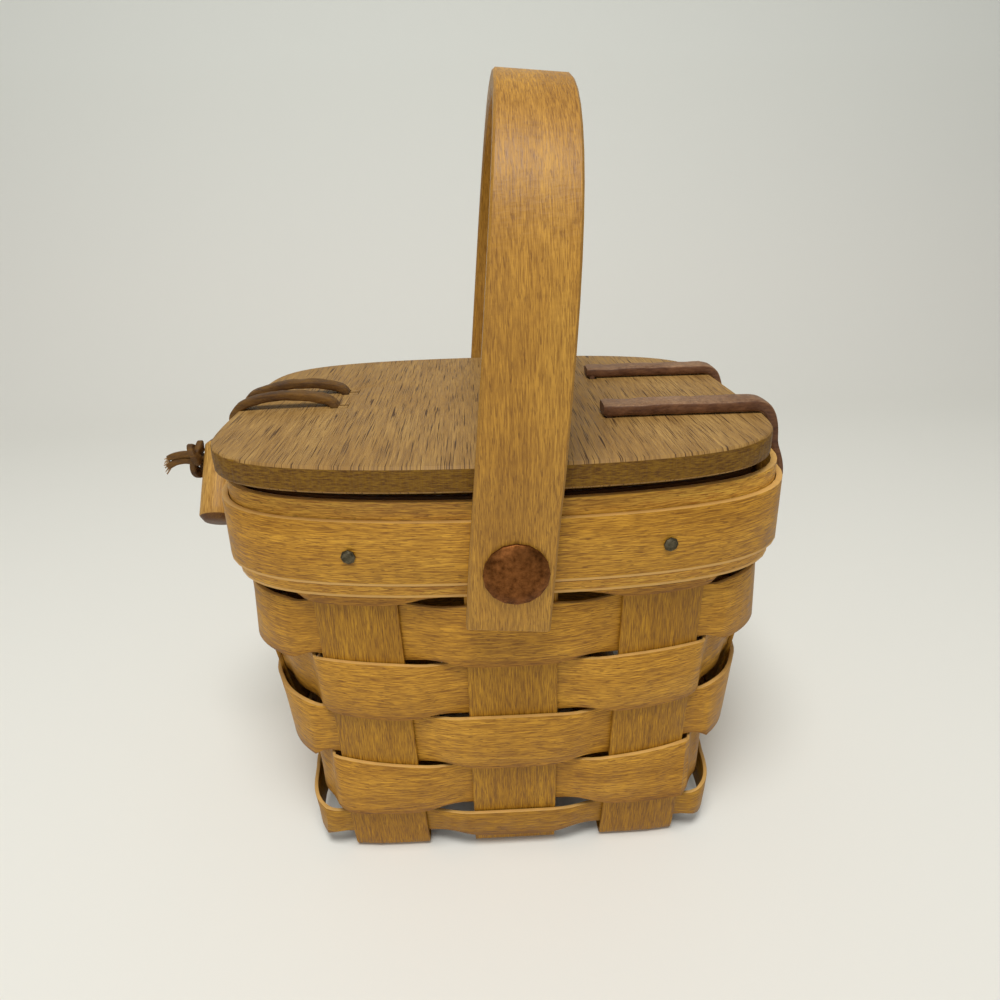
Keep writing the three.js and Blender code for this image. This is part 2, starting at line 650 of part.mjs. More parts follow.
// Nails through the rim, at the front and back stakes and at the lower ends of the hinge straps
const rimNails = [
  { name: 'nail_front_left', side: 'front', along: -NAIL_X, z: NAIL_HEIGHT },
  { name: 'nail_front_right', side: 'front', along: NAIL_X, z: NAIL_HEIGHT },
  { name: 'nail_back_left', side: 'back', along: -NAIL_X, z: NAIL_HEIGHT },
  { name: 'nail_back_right', side: 'back', along: NAIL_X, z: NAIL_HEIGHT },
  { name: 'nail_strap_front', side: 'right', along: FRONT_STRAP_Y, z: STRAP_NAIL_HEIGHT, strap: true },
  { name: 'nail_strap_back', side: 'right', along: BACK_STRAP_Y, z: STRAP_NAIL_HEIGHT, strap: true },
];
for (const nail of rimNails) {
  const p = wallPoint(nail.side, nail.along, nail.z);
  nail.direction = nail.strap ? ALONG_X : p.normal;
  nail.point = new THREE.Vector3(p.x, p.y, nail.z);
  nail.hole = drill(nail.point, nail.direction, NAIL_HOLE_RADIUS);
}
const nailHoles = rimNails.map((nail) => nail.hole);
const rivetHole = new THREE.CylinderGeometry(
  RIVET_HOLE_RADIUS, RIVET_HOLE_RADIUS, 2 * (HANDLE_OUTER_Y + RIVET_HEAD_HEIGHT), RIVET_SIDES);
rivetHole.translate(PIVOT_X, 0, PIVOT_HEIGHT);
const thongStart = new THREE.Vector3(-RIM_HALF_LENGTH, THONG_Y, THONG_HEIGHT);
const thongHole = drill(thongStart, ALONG_X, THONG_HOLE_RADIUS);

// The basket
for (const [i, stake] of FRONT_STAKES.entries()) {
  const crossed = SIDE_STAKES.filter((_, j) => (i + j) % 2 === 1)
    .map(({ lane, width }) => ({ centre: lane(0), width }));
  const holes = i === 1 ? [rivetHole] : nailHoles.slice(0, 4);
  addPiece(stake.name, cut(makeStake(stake, 'front', 'back', crossed), holes), stakeWood);
}
for (const [j, stake] of SIDE_STAKES.entries()) {
  const crossed = FRONT_STAKES.filter((_, i) => (i + j) % 2 === 0)
    .map(({ lane, width }) => ({ centre: lane(0), width }));
  addPiece(stake.name, cut(makeStake(stake, 'left', 'right', crossed), nailHoles.slice(4)), stakeWood);
}
const bottomRow = makeRow({
  row: 5,
  low: BOTTOM_ROW_LOW,
  high: BOTTOM_ROW_HIGH,
  highSpread: BOTTOM_ROW_HIGH_SPREAD,
});
addPiece('weaver_row_5', bottomRow, weaverWood);
for (let row = 4; row >= 1; row--) {
  const middle = LOWEST_FULL_ROW_MIDDLE + (4 - row) * ROW_PITCH;
  const edges = { low: middle - ROW_WIDTH / 2, high: middle + ROW_WIDTH / 2 };
  addPiece(`weaver_row_${row}`, makeRow({ row, ...edges }), weaverWood);
}
const topRow = makeRow({
  row: 0,
  low: TOP_ROW_LOW,
  high: WIDE_BAND_BOTTOM + TOP_ROW_UNDER_BAND,
  pull: TOP_ROW_CORNER_PULL,
  tilt: 0,
});
addPiece('weaver_row_0', topRow, weaverWood);

const bandHoles = [...nailHoles, rivetHole, thongHole];
addPiece('rim_inner_band', cut(makeBand(WIDE_BAND_BOTTOM, WIDE_BAND_TOP - INNER_BAND_DROP,
  -WIDE_BAND_OFFSET, -BAND_INNER_OFFSET), bandHoles), weaverWood);
addPiece('rim_outer_band', cut(makeBand(WIDE_BAND_BOTTOM, WIDE_BAND_TOP,
  BAND_INNER_OFFSET, WIDE_BAND_OFFSET), bandHoles), weaverWood);
addPiece('rim_trim_band', cut(makeBand(TRIM_BAND_BOTTOM, TRIM_BAND_TOP,
  TRIM_INNER_OFFSET, TRIM_OFFSET), bandHoles), weaverWood);

for (const nail of rimNails) {
  const face = nail.strap
    ? TRIM_END - nail.point.x + 2 * CLEARANCE + STRAP_THICKNESS
    : TRIM_OFFSET + CLEARANCE;
  const length = face + WIDE_BAND_OFFSET;
  const seat = nail.point.clone().addScaledVector(nail.direction, face);
  addPiece(nail.name, placed(makeNail(length), seat, nail.direction), steel);
}

// Handle: a bentwood hoop on two rivets, leaning a little towards the hinge side
const pivot = new THREE.Group();
pivot.position.set(PIVOT_X, 0, PIVOT_HEIGHT);
pivot.rotation.y = HANDLE_LEAN;
group.add(pivot);

const ARCH_STEPS = 26;
const archWide = HANDLE_MIDDLE_Y + HANDLE_FLARE;
const archHigh = HANDLE_RISE - HANDLE_THICKNESS / 2 - HANDLE_STRAIGHT;

function handlePath() {
  const half = [];
  for (const z of [-HANDLE_END_BELOW_PIVOT, 0, HANDLE_FLARE_TOP * HANDLE_FLARE_FROM]) {
    half.push([HANDLE_MIDDLE_Y, z]);
  }
  for (const t of [0.4, 0.55, 0.7, 0.85, 1]) {
    const spread = THREE.MathUtils.smoothstep(t, HANDLE_FLARE_FROM, 1);
    half.push([HANDLE_MIDDLE_Y + HANDLE_FLARE * spread, HANDLE_FLARE_TOP * t]);
  }
  for (let i = 0; i <= ARCH_STEPS / 2; i++) {
    const angle = (i / ARCH_STEPS) * Math.PI;
    const power = 2 / HANDLE_ARCH_SQUARENESS;
    half.push([archWide * Math.cos(angle) ** power, HANDLE_STRAIGHT + archHigh * Math.sin(angle) ** power]);
  }
  half[half.length - 1][0] = 0;
  const front = half.map(([y, z]) => new THREE.Vector3(-HANDLE_PIVOT_OFF_MIDDLE, -y, z));
  const back = half.slice(0, -1).reverse().map(([y, z]) => new THREE.Vector3(-HANDLE_PIVOT_OFF_MIDDLE, y, z));
  return [...front, ...back];
}

// A strip along a path, given the direction across its width at each point
function strip(path, acrossAt, widthAt, thickness, round = 0) {
  const sections = path.map((point, i) => {
    const before = path[Math.max(i - 1, 0)];
    const after = path[Math.min(i + 1, path.length - 1)];
    const tangent = after.clone().sub(before).normalize();
    const across = acrossAt(i).clone();
    const normal = new THREE.Vector3().crossVectors(tangent, across).normalize();
    across.crossVectors(normal, tangent).normalize();
    const corners = roundedCorners(widthAt(i) / 2, thickness / 2, round);
    return corners.map(([u, v]) => point.clone().addScaledVector(across, u).addScaledVector(normal, v));
  });
  return loft(sections, false);
}

function roundedCorners(u, v, round) {
  if (round === 0) {
    return [[u, v], [-u, v], [-u, -v], [u, -v]];
  }
  return [
    [u, v - round], [u - round, v], [-u + round, v], [-u, v - round],
    [-u, -v + round], [-u + round, -v], [u - round, -v], [u, -v + round],
  ];
}

const handleHole = rivetHole.clone().translate(-PIVOT_X, 0, -PIVOT_HEIGHT);
const hoop = handlePath();
const hoopWidth = (i) => blended(HANDLE_END_WIDTH, HANDLE_CROWN_WIDTH, hoop[i].z, 0, HANDLE_RISE);
addPiece('handle', cut(strip(hoop, () => ALONG_X, hoopWidth, HANDLE_THICKNESS, HANDLE_EDGE_ROUND),
  [handleHole]), handleWood, pivot);

// Rivets: a domed head outside the handle, a shank through the rim and a peened end over a burr
const rivetSeat = HANDLE_OUTER_Y + CLEARANCE;
const bandInnerFace = RIM_HALF_DEPTH - WIDE_BAND_OFFSET;
const burrSeat = bandInnerFace - CLEARANCE;
const peenSeat = burrSeat - BURR_THICKNESS - CLEARANCE;
for (const [name, sign] of [['front', -1], ['back', 1]]) {
  const outward = ALONG_Y.clone().multiplyScalar(sign);
  const rivet = revolved([
    [0, peenSeat - PEEN_HEIGHT],
    [PEEN_END_RADIUS, peenSeat - PEEN_ROUND_FROM],
    [PEEN_RADIUS, peenSeat],
    [RIVET_SHANK_RADIUS, peenSeat],
    [RIVET_SHANK_RADIUS, rivetSeat],
    ...RIVET_HEAD.map(([r, h]) => [RIVET_HEAD_RADIUS * r, rivetSeat + RIVET_HEAD_HEIGHT * h]),
  ], RIVET_SIDES);
  const centre = new THREE.Vector3(PIVOT_X, 0, PIVOT_HEIGHT);
  addPiece(`rivet_${name}`, placed(rivet, centre, outward), copper);
  const burr = revolved([
    [RIVET_HOLE_RADIUS, burrSeat - BURR_THICKNESS],
    [BURR_RADIUS, burrSeat - BURR_THICKNESS],
    [BURR_RADIUS, burrSeat],
    [RIVET_HOLE_RADIUS, burrSeat],
    [RIVET_HOLE_RADIUS, burrSeat - BURR_THICKNESS],
  ], RIVET_SIDES);
  addPiece(`burr_${name}`, placed(burr, centre, outward), copper);
}

// Lid: a flat board that tips up about the hinge line, drawn about that line
const lidGroup = new THREE.Group();
lidGroup.position.set(HINGE_X, 0, HINGE_Z);
lidGroup.rotation.y = LID_TILT;
group.add(lidGroup);

const lidPlan = { a: LID_HALF_LENGTH, b: LID_HALF_DEPTH, n: LID_END_SQUARENESS, m: LID_SIDE_SQUARENESS };
const LID_STEPS = 64;
const lidShift = new THREE.Vector2(LID_SHIFT_X - HINGE_X, LID_SHIFT_Y);

function makeLid() {
  const whole = outlineOf(lidPlan);
  const outline = [];
  for (let i = 0; i < LID_STEPS; i++) {
    outline.push(pointAt(whole, whole.total * i / LID_STEPS));
  }
  const level = (z, inset) => outline.map((p) => {
    const q = offsetPoint(p, z, -inset);
    return q.add(new THREE.Vector3(lidShift.x, lidShift.y, 0));
  });
  const sections = [
    level(0, LID_EDGE_ROUND),
    level(LID_EDGE_ROUND, 0),
    level(LID_THICKNESS - LID_EDGE_ROUND, 0),
    level(LID_THICKNESS, LID_EDGE_ROUND),
  ];
  return loft(sections, false);
}

function slot(x, y, length, width) {
  const geometry = new THREE.BoxGeometry(length, width, 4 * LID_THICKNESS);
  geometry.translate(x - HINGE_X, y, 0);
  return geometry;
}

const strapSlot = STRAP_THICKNESS + 2 * CLEARANCE;
const laceSlot = LACE_THICKNESS + 2 * CLEARANCE + SLIT_EXTRA;
const slitShift = SLIT_EXTRA / 2;
addPiece('lid', cut(makeLid(), [
  slot(FRONT_STRAP_X, FRONT_STRAP_Y, strapSlot, STRAP_WIDTH + 2 * CLEARANCE),
  slot(BACK_STRAP_X, BACK_STRAP_Y, strapSlot, STRAP_WIDTH + 2 * CLEARANCE),
  slot(FRONT_SLOT_X + slitShift, FRONT_SLOT_Y, laceSlot, LACE_WIDTH + 2 * CLEARANCE),
  slot(BACK_SLOT_X + slitShift, BACK_SLOT_Y, laceSlot, LACE_WIDTH + 2 * CLEARANCE),
]), lidWood, lidGroup);

// Points of a quarter turn in the XZ plane about a centre, from one angle to another
function quarter(x, z, radius, from, to, steps) {
  const points = [];
  for (let i = 0; i <= steps; i++) {
    const angle = THREE.MathUtils.lerp(from, to, i / steps);
    points.push(new THREE.Vector3(x + radius * Math.cos(angle), 0, z + radius * Math.sin(angle)));
  }
  return points;
}

// From the lid's own frame to the part's
function fromLid(point) {
  return point.clone().applyAxisAngle(ALONG_Y, LID_TILT).add(new THREE.Vector3(HINGE_X, 0, HINGE_Z));
}

// Hinge straps: up through a slot in the lid, along its top, over its edge and down the rim
function strapPath(x, y) {
  const half = STRAP_THICKNESS / 2;
  const under = -CLEARANCE - half;
  const over = LID_THICKNESS + CLEARANCE + half;
  const turn = half + STRAP_SLOT_BEND;
  const tail = x - HINGE_X + STRAP_TAIL;
  const slotX = x - HINGE_X;
  const bend = half + STRAP_EDGE_BEND;
  const down = TRIM_END + CLEARANCE + half - HINGE_X;
  const local = [
    new THREE.Vector3(tail, 0, under),
    ...quarter(slotX + turn, under + turn, turn, -Math.PI / 2, -Math.PI, 4),
    ...quarter(slotX + turn, over - turn, turn, Math.PI, Math.PI / 2, 4),
    new THREE.Vector3((slotX + down - bend) / 2, 0, over),
    ...quarter(down - bend, over - bend, bend, Math.PI / 2, 0, 6),
  ];
  const path = local.map(fromLid);
  const outside = TRIM_END + CLEARANCE + half;
  const last = path[path.length - 1];
  path[path.length - 1] = new THREE.Vector3(outside, 0, last.z);
  path.push(new THREE.Vector3(outside, 0, TRIM_BAND_TOP));
  path.push(new THREE.Vector3(outside, 0, STRAP_BOTTOM));
  return path.map((p) => p.setY(y));
}

for (const [name, x, y] of [['front', FRONT_STRAP_X, FRONT_STRAP_Y], ['back', BACK_STRAP_X, BACK_STRAP_Y]]) {
  const strap = strip(strapPath(x, y), () => ALONG_Y, () => STRAP_WIDTH, STRAP_THICKNESS);
  addPiece(`hinge_strap_${name}`, cut(strap, nailHoles.slice(4)), leather);
}

// Closure loop: a lace up through one slot, over the lid's end, round behind the toggle and back
const LACE_STEPS = 8;
const LOOP_STEPS = 10;
const LACE_BEND_FROM = 0.55 * Math.PI;

function laceStrand(slotX, slotY, edgeY) {
  const half = LACE_THICKNESS / 2;
  const under = -CLEARANCE - half;
  const over = LID_THICKNESS + CLEARANCE + half;
  const turn = half + LACE_SLOT_BEND;
  const x = slotX - HINGE_X;
  const lidEnd = LID_HALF_LENGTH - LID_SHIFT_X;
  const down = -(Math.max(TRIM_END, lidEnd) + CLEARANCE + half) - HINGE_X;
  const bend = half + LACE_EDGE_BEND;
  const start = over + LACE_ARCH;
  const local = [
    new THREE.Vector3(x + LACE_TAIL, slotY, under),
    ...quarter(x + turn, under + turn, turn, -Math.PI / 2, -Math.PI, 3).map((p) => p.setY(slotY)),
    ...quarter(x - LACE_ARCH, start - LACE_ARCH, LACE_ARCH, 0, Math.PI / 2, 4).map((p) => p.setY(slotY)),
  ];
  for (let i = 1; i <= LACE_STEPS; i++) {
    const t = i / LACE_STEPS;
    const rise = LACE_ARCH * Math.cos(Math.PI * t / 2) + LACE_SWELL * Math.sin(Math.PI * t);
    local.push(new THREE.Vector3(
      THREE.MathUtils.lerp(x - LACE_ARCH, down + 2 * bend, t),
      THREE.MathUtils.lerp(slotY, edgeY, t),
      over + rise,
    ));
  }
  const round = quarter(down + bend, over - bend, bend, LACE_BEND_FROM, Math.PI, 4);
  local.push(...round.map((p) => p.setY(edgeY)));
  const path = local.map(fromLid);
  path[path.length - 1].setX(down + HINGE_X);
  return path;
}

function closureLoop() {
  const front = laceStrand(FRONT_SLOT_X, FRONT_SLOT_Y, LOOP_FRONT_Y);
  const back = laceStrand(BACK_SLOT_X, BACK_SLOT_Y, LOOP_BACK_Y);
  const radius = (LOOP_BACK_Y - LOOP_FRONT_Y) / 2;
  const centreY = (LOOP_BACK_Y + LOOP_FRONT_Y) / 2;
  const centreZ = LOOP_BOTTOM + LACE_WIDTH / 2 + radius;
  const x = front[front.length - 1].x;
  const path = [...front];
  const across = front.map(() => ALONG_Y);
  for (let i = 0; i <= LOOP_STEPS; i++) {
    const angle = (i / LOOP_STEPS) * Math.PI;
    path.push(new THREE.Vector3(x, centreY - radius * Math.cos(angle), centreZ - radius * Math.sin(angle)));
    across.push(new THREE.Vector3(0, Math.cos(angle), Math.sin(angle)));
  }
  path.push(...back.reverse());
  across.push(...back.map(() => ALONG_Y.clone().negate()));
  return strip(path, (i) => across[i], () => LACE_WIDTH, LACE_THICKNESS);
}
addPiece('closure_loop', closureLoop(), leather);

// Toggle: a chamfered dowel with a cross hole for its thong
const toggleGroup = new THREE.Group();
toggleGroup.position.set(TOGGLE_X, THONG_Y, THONG_HEIGHT);
toggleGroup.rotation.x = TOGGLE_SLOPE;
group.add(toggleGroup);
const dowelLow = -TOGGLE_HOLE_FROM_END;
const dowelHigh = TOGGLE_LENGTH - TOGGLE_HOLE_FROM_END;
const dowel = revolved([
  [0, dowelLow],
  [TOGGLE_RADIUS - TOGGLE_CHAMFER, dowelLow],
  [TOGGLE_RADIUS, dowelLow + TOGGLE_CHAMFER],
  [TOGGLE_RADIUS, dowelHigh - TOGGLE_CHAMFER],
  [TOGGLE_RADIUS - TOGGLE_CHAMFER, dowelHigh],
  [0, dowelHigh],
], TOGGLE_SIDES);
const toggleHole = drill(new THREE.Vector3(), ALONG_X, THONG_HOLE_RADIUS);
addPiece('toggle', cut(dowel, [toggleHole]), toggleWood, toggleGroup);

// Thong: a lace knotted inside the rim, out through the toggle and knotted again, with a loose tail
const knotStart = TOGGLE_X - TOGGLE_RADIUS - CLEARANCE;
const knotEnd = knotStart - KNOT_LENGTH;
const stopFace = -(RIM_HALF_LENGTH - WIDE_BAND_OFFSET) + CLEARANCE;
const core = revolved([
  [0, -stopFace - STOP_KNOT_LENGTH],
  [STOP_KNOT_END_RADIUS, -stopFace - STOP_KNOT_LENGTH],
  [STOP_KNOT_RADIUS, -stopFace - STOP_KNOT_RADIUS],
  [STOP_KNOT_RADIUS, -stopFace],
  [THONG_RADIUS, -stopFace],
  [THONG_RADIUS, -knotStart],
  [KNOT_START_RADIUS, -knotStart],
  [KNOT_RADIUS, -knotStart + KNOT_LENGTH * KNOT_SHOULDER],
  [KNOT_RADIUS, -knotEnd - KNOT_LENGTH * KNOT_TAPER],
  [KNOT_END_RADIUS, -knotEnd],
  [0, -knotEnd],
], THONG_SIDES);
core.applyQuaternion(new THREE.Quaternion().setFromUnitVectors(ALONG_Y, ALONG_X.clone().negate()));
const knotMiddle = (knotStart + knotEnd) / 2;
const strands = [-1, 1].map((sign) => {
  const ring = new THREE.TorusGeometry(KNOT_RADIUS, KNOT_STRAND_RADIUS, 5, THONG_SIDES);
  ring.rotateY(Math.PI / 2 + sign * KNOT_STRAND_TILT);
  ring.translate(knotMiddle, 0, 0);
  return ring;
});
const tailAcross = new THREE.Vector3(0, 0.35, 0.94);
const tailPath = [0, 0.35, 0.7, 1].map((t) => new THREE.Vector3(
  knotEnd + TAIL_IN_KNOT - (TAIL_LENGTH + TAIL_IN_KNOT) * t, 0, -TAIL_DROOP * Math.sin(Math.PI * t)));
const tail = strip(tailPath, () => tailAcross, () => TAIL_WIDTH, TAIL_THICKNESS);
const thong = joined([core, ...strands, tail]);
thong.translate(0, THONG_Y, THONG_HEIGHT);
addPiece('toggle_thong', thong, leather);

export default group;
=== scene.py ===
# Small woven splint basket purse: camera, light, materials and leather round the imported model.
# Lengths are in metres. Routes and sizes of the leather and the toggle are in millimetres, which mm() turns.
import bmesh
import bpy
import math
from mathutils import Matrix, Vector, noise


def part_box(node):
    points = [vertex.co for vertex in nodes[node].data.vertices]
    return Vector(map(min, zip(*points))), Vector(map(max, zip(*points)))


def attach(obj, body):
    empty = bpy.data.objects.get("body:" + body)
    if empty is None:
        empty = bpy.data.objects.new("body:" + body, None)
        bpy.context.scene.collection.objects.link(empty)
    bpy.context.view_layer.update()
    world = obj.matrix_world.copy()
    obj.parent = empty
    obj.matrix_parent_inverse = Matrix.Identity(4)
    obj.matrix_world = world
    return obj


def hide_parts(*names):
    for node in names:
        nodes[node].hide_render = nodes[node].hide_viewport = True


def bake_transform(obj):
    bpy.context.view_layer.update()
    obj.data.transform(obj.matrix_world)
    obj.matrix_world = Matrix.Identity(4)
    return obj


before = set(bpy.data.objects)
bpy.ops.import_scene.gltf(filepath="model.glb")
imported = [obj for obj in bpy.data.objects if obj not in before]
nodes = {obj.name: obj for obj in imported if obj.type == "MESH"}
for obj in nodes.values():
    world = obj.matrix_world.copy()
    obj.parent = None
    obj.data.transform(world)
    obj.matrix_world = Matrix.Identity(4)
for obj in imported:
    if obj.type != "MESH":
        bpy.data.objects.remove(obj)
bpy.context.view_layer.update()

# Camera: the photograph's place and angle of view, for a square image
CAMERA_PLACE = (-0.00844, -0.23459, 0.20320)
CAMERA_PITCH = math.radians(23.2)
CAMERA_YAW = math.radians(1.96)
CAMERA_ROLL = math.radians(-1.37)
CAMERA_LENS = 25.2
SENSOR = 36.0

camera = bpy.data.objects.new("camera", bpy.data.cameras.new("camera"))
bpy.context.scene.collection.objects.link(camera)
camera_turn = (
    Matrix.Rotation(-CAMERA_YAW, 4, "Z")
    @ Matrix.Rotation(math.pi / 2 - CAMERA_PITCH, 4, "X")
    @ Matrix.Rotation(CAMERA_ROLL, 4, "Z")
)
camera.matrix_world = Matrix.Translation(CAMERA_PLACE) @ camera_turn
camera.data.sensor_width = SENSOR
camera.data.lens = CAMERA_LENS
camera.data.clip_start = 0.01
bpy.context.scene.camera = camera
bpy.context.scene.view_settings.view_transform = "Standard"


# Colours are written as they look on a screen, 0 to 255
def tone(red, green, blue):
    def linear(value):
        share = value / 255
        return share / 12.92 if share <= 0.04045 else ((share + 0.055) / 1.055) ** 2.4
    return (linear(red), linear(green), linear(blue), 1.0)


class Nodes:
    """A material's node tree, with short calls for the nodes that the looks use."""

    def __init__(self, name):
        self.material = bpy.data.materials.new(name)
        self.material.use_nodes = True
        self.tree = self.material.node_tree
        self.tree.nodes.clear()
        self.shader = self.tree.nodes.new("ShaderNodeBsdfPrincipled")
        output = self.tree.nodes.new("ShaderNodeOutputMaterial")
        self.link(self.shader.outputs["BSDF"], output.inputs["Surface"])
        coordinates = self.tree.nodes.new("ShaderNodeTexCoord")
        self.place = coordinates.outputs["Object"]
        self.normal = coordinates.outputs["Normal"]

    def link(self, source, target):
        self.tree.links.new(source, target)

    def feed(self, socket, value):
        if isinstance(value, bpy.types.NodeSocket):
            self.link(value, socket)
        else:
            socket.default_value = value

    def constant(self, name, value):
        self.shader.inputs[name].default_value = value

    def mapping(self, scale, rotation=(0, 0, 0), location=(0, 0, 0)):
        node = self.tree.nodes.new("ShaderNodeMapping")
        self.link(self.place, node.inputs["Vector"])
        node.inputs["Scale"].default_value = scale
        node.inputs["Rotation"].default_value = rotation
        node.inputs["Location"].default_value = location
        return node.outputs["Vector"]

    def noise(self, vector, detail, roughness=0.55, distortion=0.0):
        node = self.tree.nodes.new("ShaderNodeTexNoise")
        self.link(vector, node.inputs["Vector"])
        node.inputs["Scale"].default_value = 1.0
        node.inputs["Detail"].default_value = detail
        node.inputs["Roughness"].default_value = roughness
        node.inputs["Distortion"].default_value = distortion
        return node.outputs["Fac"]

    def cells(self, vector):
        node = self.tree.nodes.new("ShaderNodeTexVoronoi")
        self.link(vector, node.inputs["Vector"])
        node.inputs["Scale"].default_value = 1.0
        return node.outputs["Distance"]

    def ramp(self, factor, stops):
        node = self.tree.nodes.new("ShaderNodeValToRGB")
        self.link(factor, node.inputs["Fac"])
        points = node.color_ramp.elements
        while len(points) < len(stops):
            points.new(0.5)
        for point, (position, colour) in zip(points, stops):
            point.position = position
            point.color = colour
        return node.outputs["Color"]

    def remap(self, value, low, high, to_low=0.0, to_high=1.0):
        node = self.tree.nodes.new("ShaderNodeMapRange")
        node.interpolation_type = "SMOOTHSTEP"
        self.feed(node.inputs["Value"], value)
        node.inputs["From Min"].default_value = low
        node.inputs["From Max"].default_value = high
        node.inputs["To Min"].default_value = to_low
        node.inputs["To Max"].default_value = to_high
        return node.outputs["Result"]

    def math(self, operation, a, b=0.0):
        node = self.tree.nodes.new("ShaderNodeMath")
        node.operation = operation
        self.feed(node.inputs[0], a)
        self.feed(node.inputs[1], b)
        return node.outputs["Value"]

    def weighted(self, a, a_share, b, b_share):
        return self.math("ADD", self.math("MULTIPLY", a, a_share), self.math("MULTIPLY", b, b_share))

    def mix(self, factor, a, b, blend="MIX"):
        """Inputs 6 and 7 and output 2 are the node's colour sockets."""
        node = self.tree.nodes.new("ShaderNodeMix")
        node.data_type = "RGBA"
        node.blend_type = blend
        self.feed(node.inputs["Factor"], factor)
        self.feed(node.inputs[6], a)
        self.feed(node.inputs[7], b)
        return node.outputs[2]

    def axis(self, name, vector):
        node = self.tree.nodes.new("ShaderNodeSeparateXYZ")
        self.link(vector, node.inputs["Vector"])
        return node.outputs[name]

    def bump(self, height, strength, distance, normal=None):
        node = self.tree.nodes.new("ShaderNodeBump")
        self.link(height, node.inputs["Height"])
        node.inputs["Strength"].default_value = strength
        node.inputs["Distance"].default_value = distance
        if normal is not None:
            self.link(normal, node.inputs["Normal"])
        return node.outputs["Normal"]


# Wood: scales are in waves per metre, across the grain and along it. Across names the axes on which
# the grain is narrow
ACROSS_X = (1, 0, 0)
ACROSS_Y = (0, 1, 0)
ACROSS_Z = (0, 0, 1)
BROAD_SCALES = (110, 9)
PATCH_SCALE = 24
STRAND_SCALES = (900, 40)
DASH_SCALE_ACROSS = 3300
RIPPLE_SCALES = (260, 260, 900)
RIPPLE_DEPTH = 0.00035
STRAND_TONES = [(0.3, (0.34, 0.29, 0.2, 1)), (0.7, (0.68, 0.68, 0.64, 1))]
STRAND_CONTRAST = 0.3
FIBRE_TONES = [(0.34, (0.27, 0.2, 0.1, 1)), (0.66, (0.76, 0.75, 0.7, 1))]
FIBRE_RANGE = (0.35, 0.65)
DASH_LEVELS = (0.6, 0.68)
DASH_HEIGHT = -0.5
SEED_SHIFT = (3.1, 1.7, 2.3)
GRAIN_DEPTH = 0.00009
COAT_ROUGHNESS = 0.42


def wood(name, tones, across, seed, turn=(0, 0, 0), fibre_scales=(2600, 280), contrast=0.8, dash=0.55,
         dash_tone=None, dash_scale_along=380, rough=(0.4, 0.62), coat=0.0, ripple=0.0, painted=()):
    """Broad tones, strands, fibres and dark dashes along the grain, and what is painted over them."""
    n = Nodes(name)
    shift = tuple(seed * step for step in SEED_SHIFT)

    def drawn_out(scale_across, scale_along):
        scales = tuple(scale_across * share + scale_along * (1 - share) for share in across)
        return n.mapping(scales, turn, shift)

    broad = n.noise(drawn_out(*BROAD_SCALES), detail=3, distortion=0.5)
    patch = n.noise(n.mapping((PATCH_SCALE,) * 3, turn, shift), detail=3)
    fibres = n.noise(drawn_out(*fibre_scales), detail=2.5, roughness=0.6)
    strands = n.noise(drawn_out(*STRAND_SCALES), detail=3, roughness=0.6)
    dashes = n.noise(drawn_out(DASH_SCALE_ACROSS, dash_scale_along), detail=1, roughness=0.5)
    dark, middle, light = tones
    colour = n.ramp(n.weighted(broad, 0.5, patch, 0.5), [(0.25, dark), (0.5, middle), (0.75, light)])
    colour = n.mix(STRAND_CONTRAST, colour, n.ramp(strands, STRAND_TONES), "OVERLAY")
    colour = n.mix(contrast, colour, n.ramp(fibres, FIBRE_TONES), "OVERLAY")
    colour = n.mix(n.remap(dashes, *DASH_LEVELS, 0.0, dash), colour, dash_tone or dark)
    for paint in painted:
        colour = paint(n, colour)
    n.link(colour, n.shader.inputs["Base Color"])
    n.link(n.remap(fibres, *FIBRE_RANGE, *rough), n.shader.inputs["Roughness"])
    height = n.math("ADD", fibres, n.math("MULTIPLY", dashes, DASH_HEIGHT))
    normal = n.bump(height, strength=0.6, distance=GRAIN_DEPTH)
    if ripple:
        waves = n.noise(n.mapping(RIPPLE_SCALES, turn, shift), detail=2)
        normal = n.bump(waves, ripple, RIPPLE_DEPTH, normal)
    n.link(normal, n.shader.inputs["Normal"])
    n.constant("Specular IOR Level", 0.3)
    if coat:
        n.constant("Coat Weight", coat)
        n.constant("Coat Roughness", COAT_ROUGHNESS)
    return n.material


# What is painted over a wood's grain, painted highlights and shadows too: each call gives a function that
# changes the colour
LINE_SOFTNESS = 0.0003
CREST_HIGHLIGHT_AMOUNT = 0.85
SAWN_EDGE_SCALES = (420, 420, 2600)
SAWN_EDGE_SPREAD = 0.15
HOOP_EDGE_SCALES = (1500, 1500, 1500)
HOOP_EDGE_SPREAD = 0.2
HOOP_EDGE_AMOUNT = 0.9


def level_line(low, high, line_tone, amount):
    """A line of another tone round a band, between two heights."""
    def paint(n, colour):
        rising = n.remap(n.axis("Z", n.place), low - LINE_SOFTNESS, low, 0.0, amount)
        falling = n.remap(n.axis("Z", n.place), high, high + LINE_SOFTNESS, 1.0, 0.0)
        return n.mix(n.math("MULTIPLY", rising, falling), colour, line_tone)
    return paint


def low_shade(bottom, rise, amount, shade_tone):
    """Painted shade, darkest at a splint's lower edge and fading out above it."""
    def paint(n, colour):
        share = n.remap(n.axis("Z", n.place), bottom, bottom + rise, amount, 0.0)
        return n.mix(share, colour, shade_tone, "MULTIPLY")
    return paint


def crest_highlight(highlight_tone):
    """Painted highlight on faces that look up: the upper edge of a splint, paler as if lit from above."""
    def paint(n, colour):
        return n.mix(n.remap(n.axis("Z", n.normal), 0.35, 0.8, 0.0, CREST_HIGHLIGHT_AMOUNT), colour, highlight_tone)
    return paint


def speckled(n, tones, scales, spread):
    dark, light = tones
    speckle = n.noise(n.mapping(scales), detail=3, roughness=0.7)
    return n.ramp(speckle, [(0.5 - spread, dark), (0.5 + spread, light)])


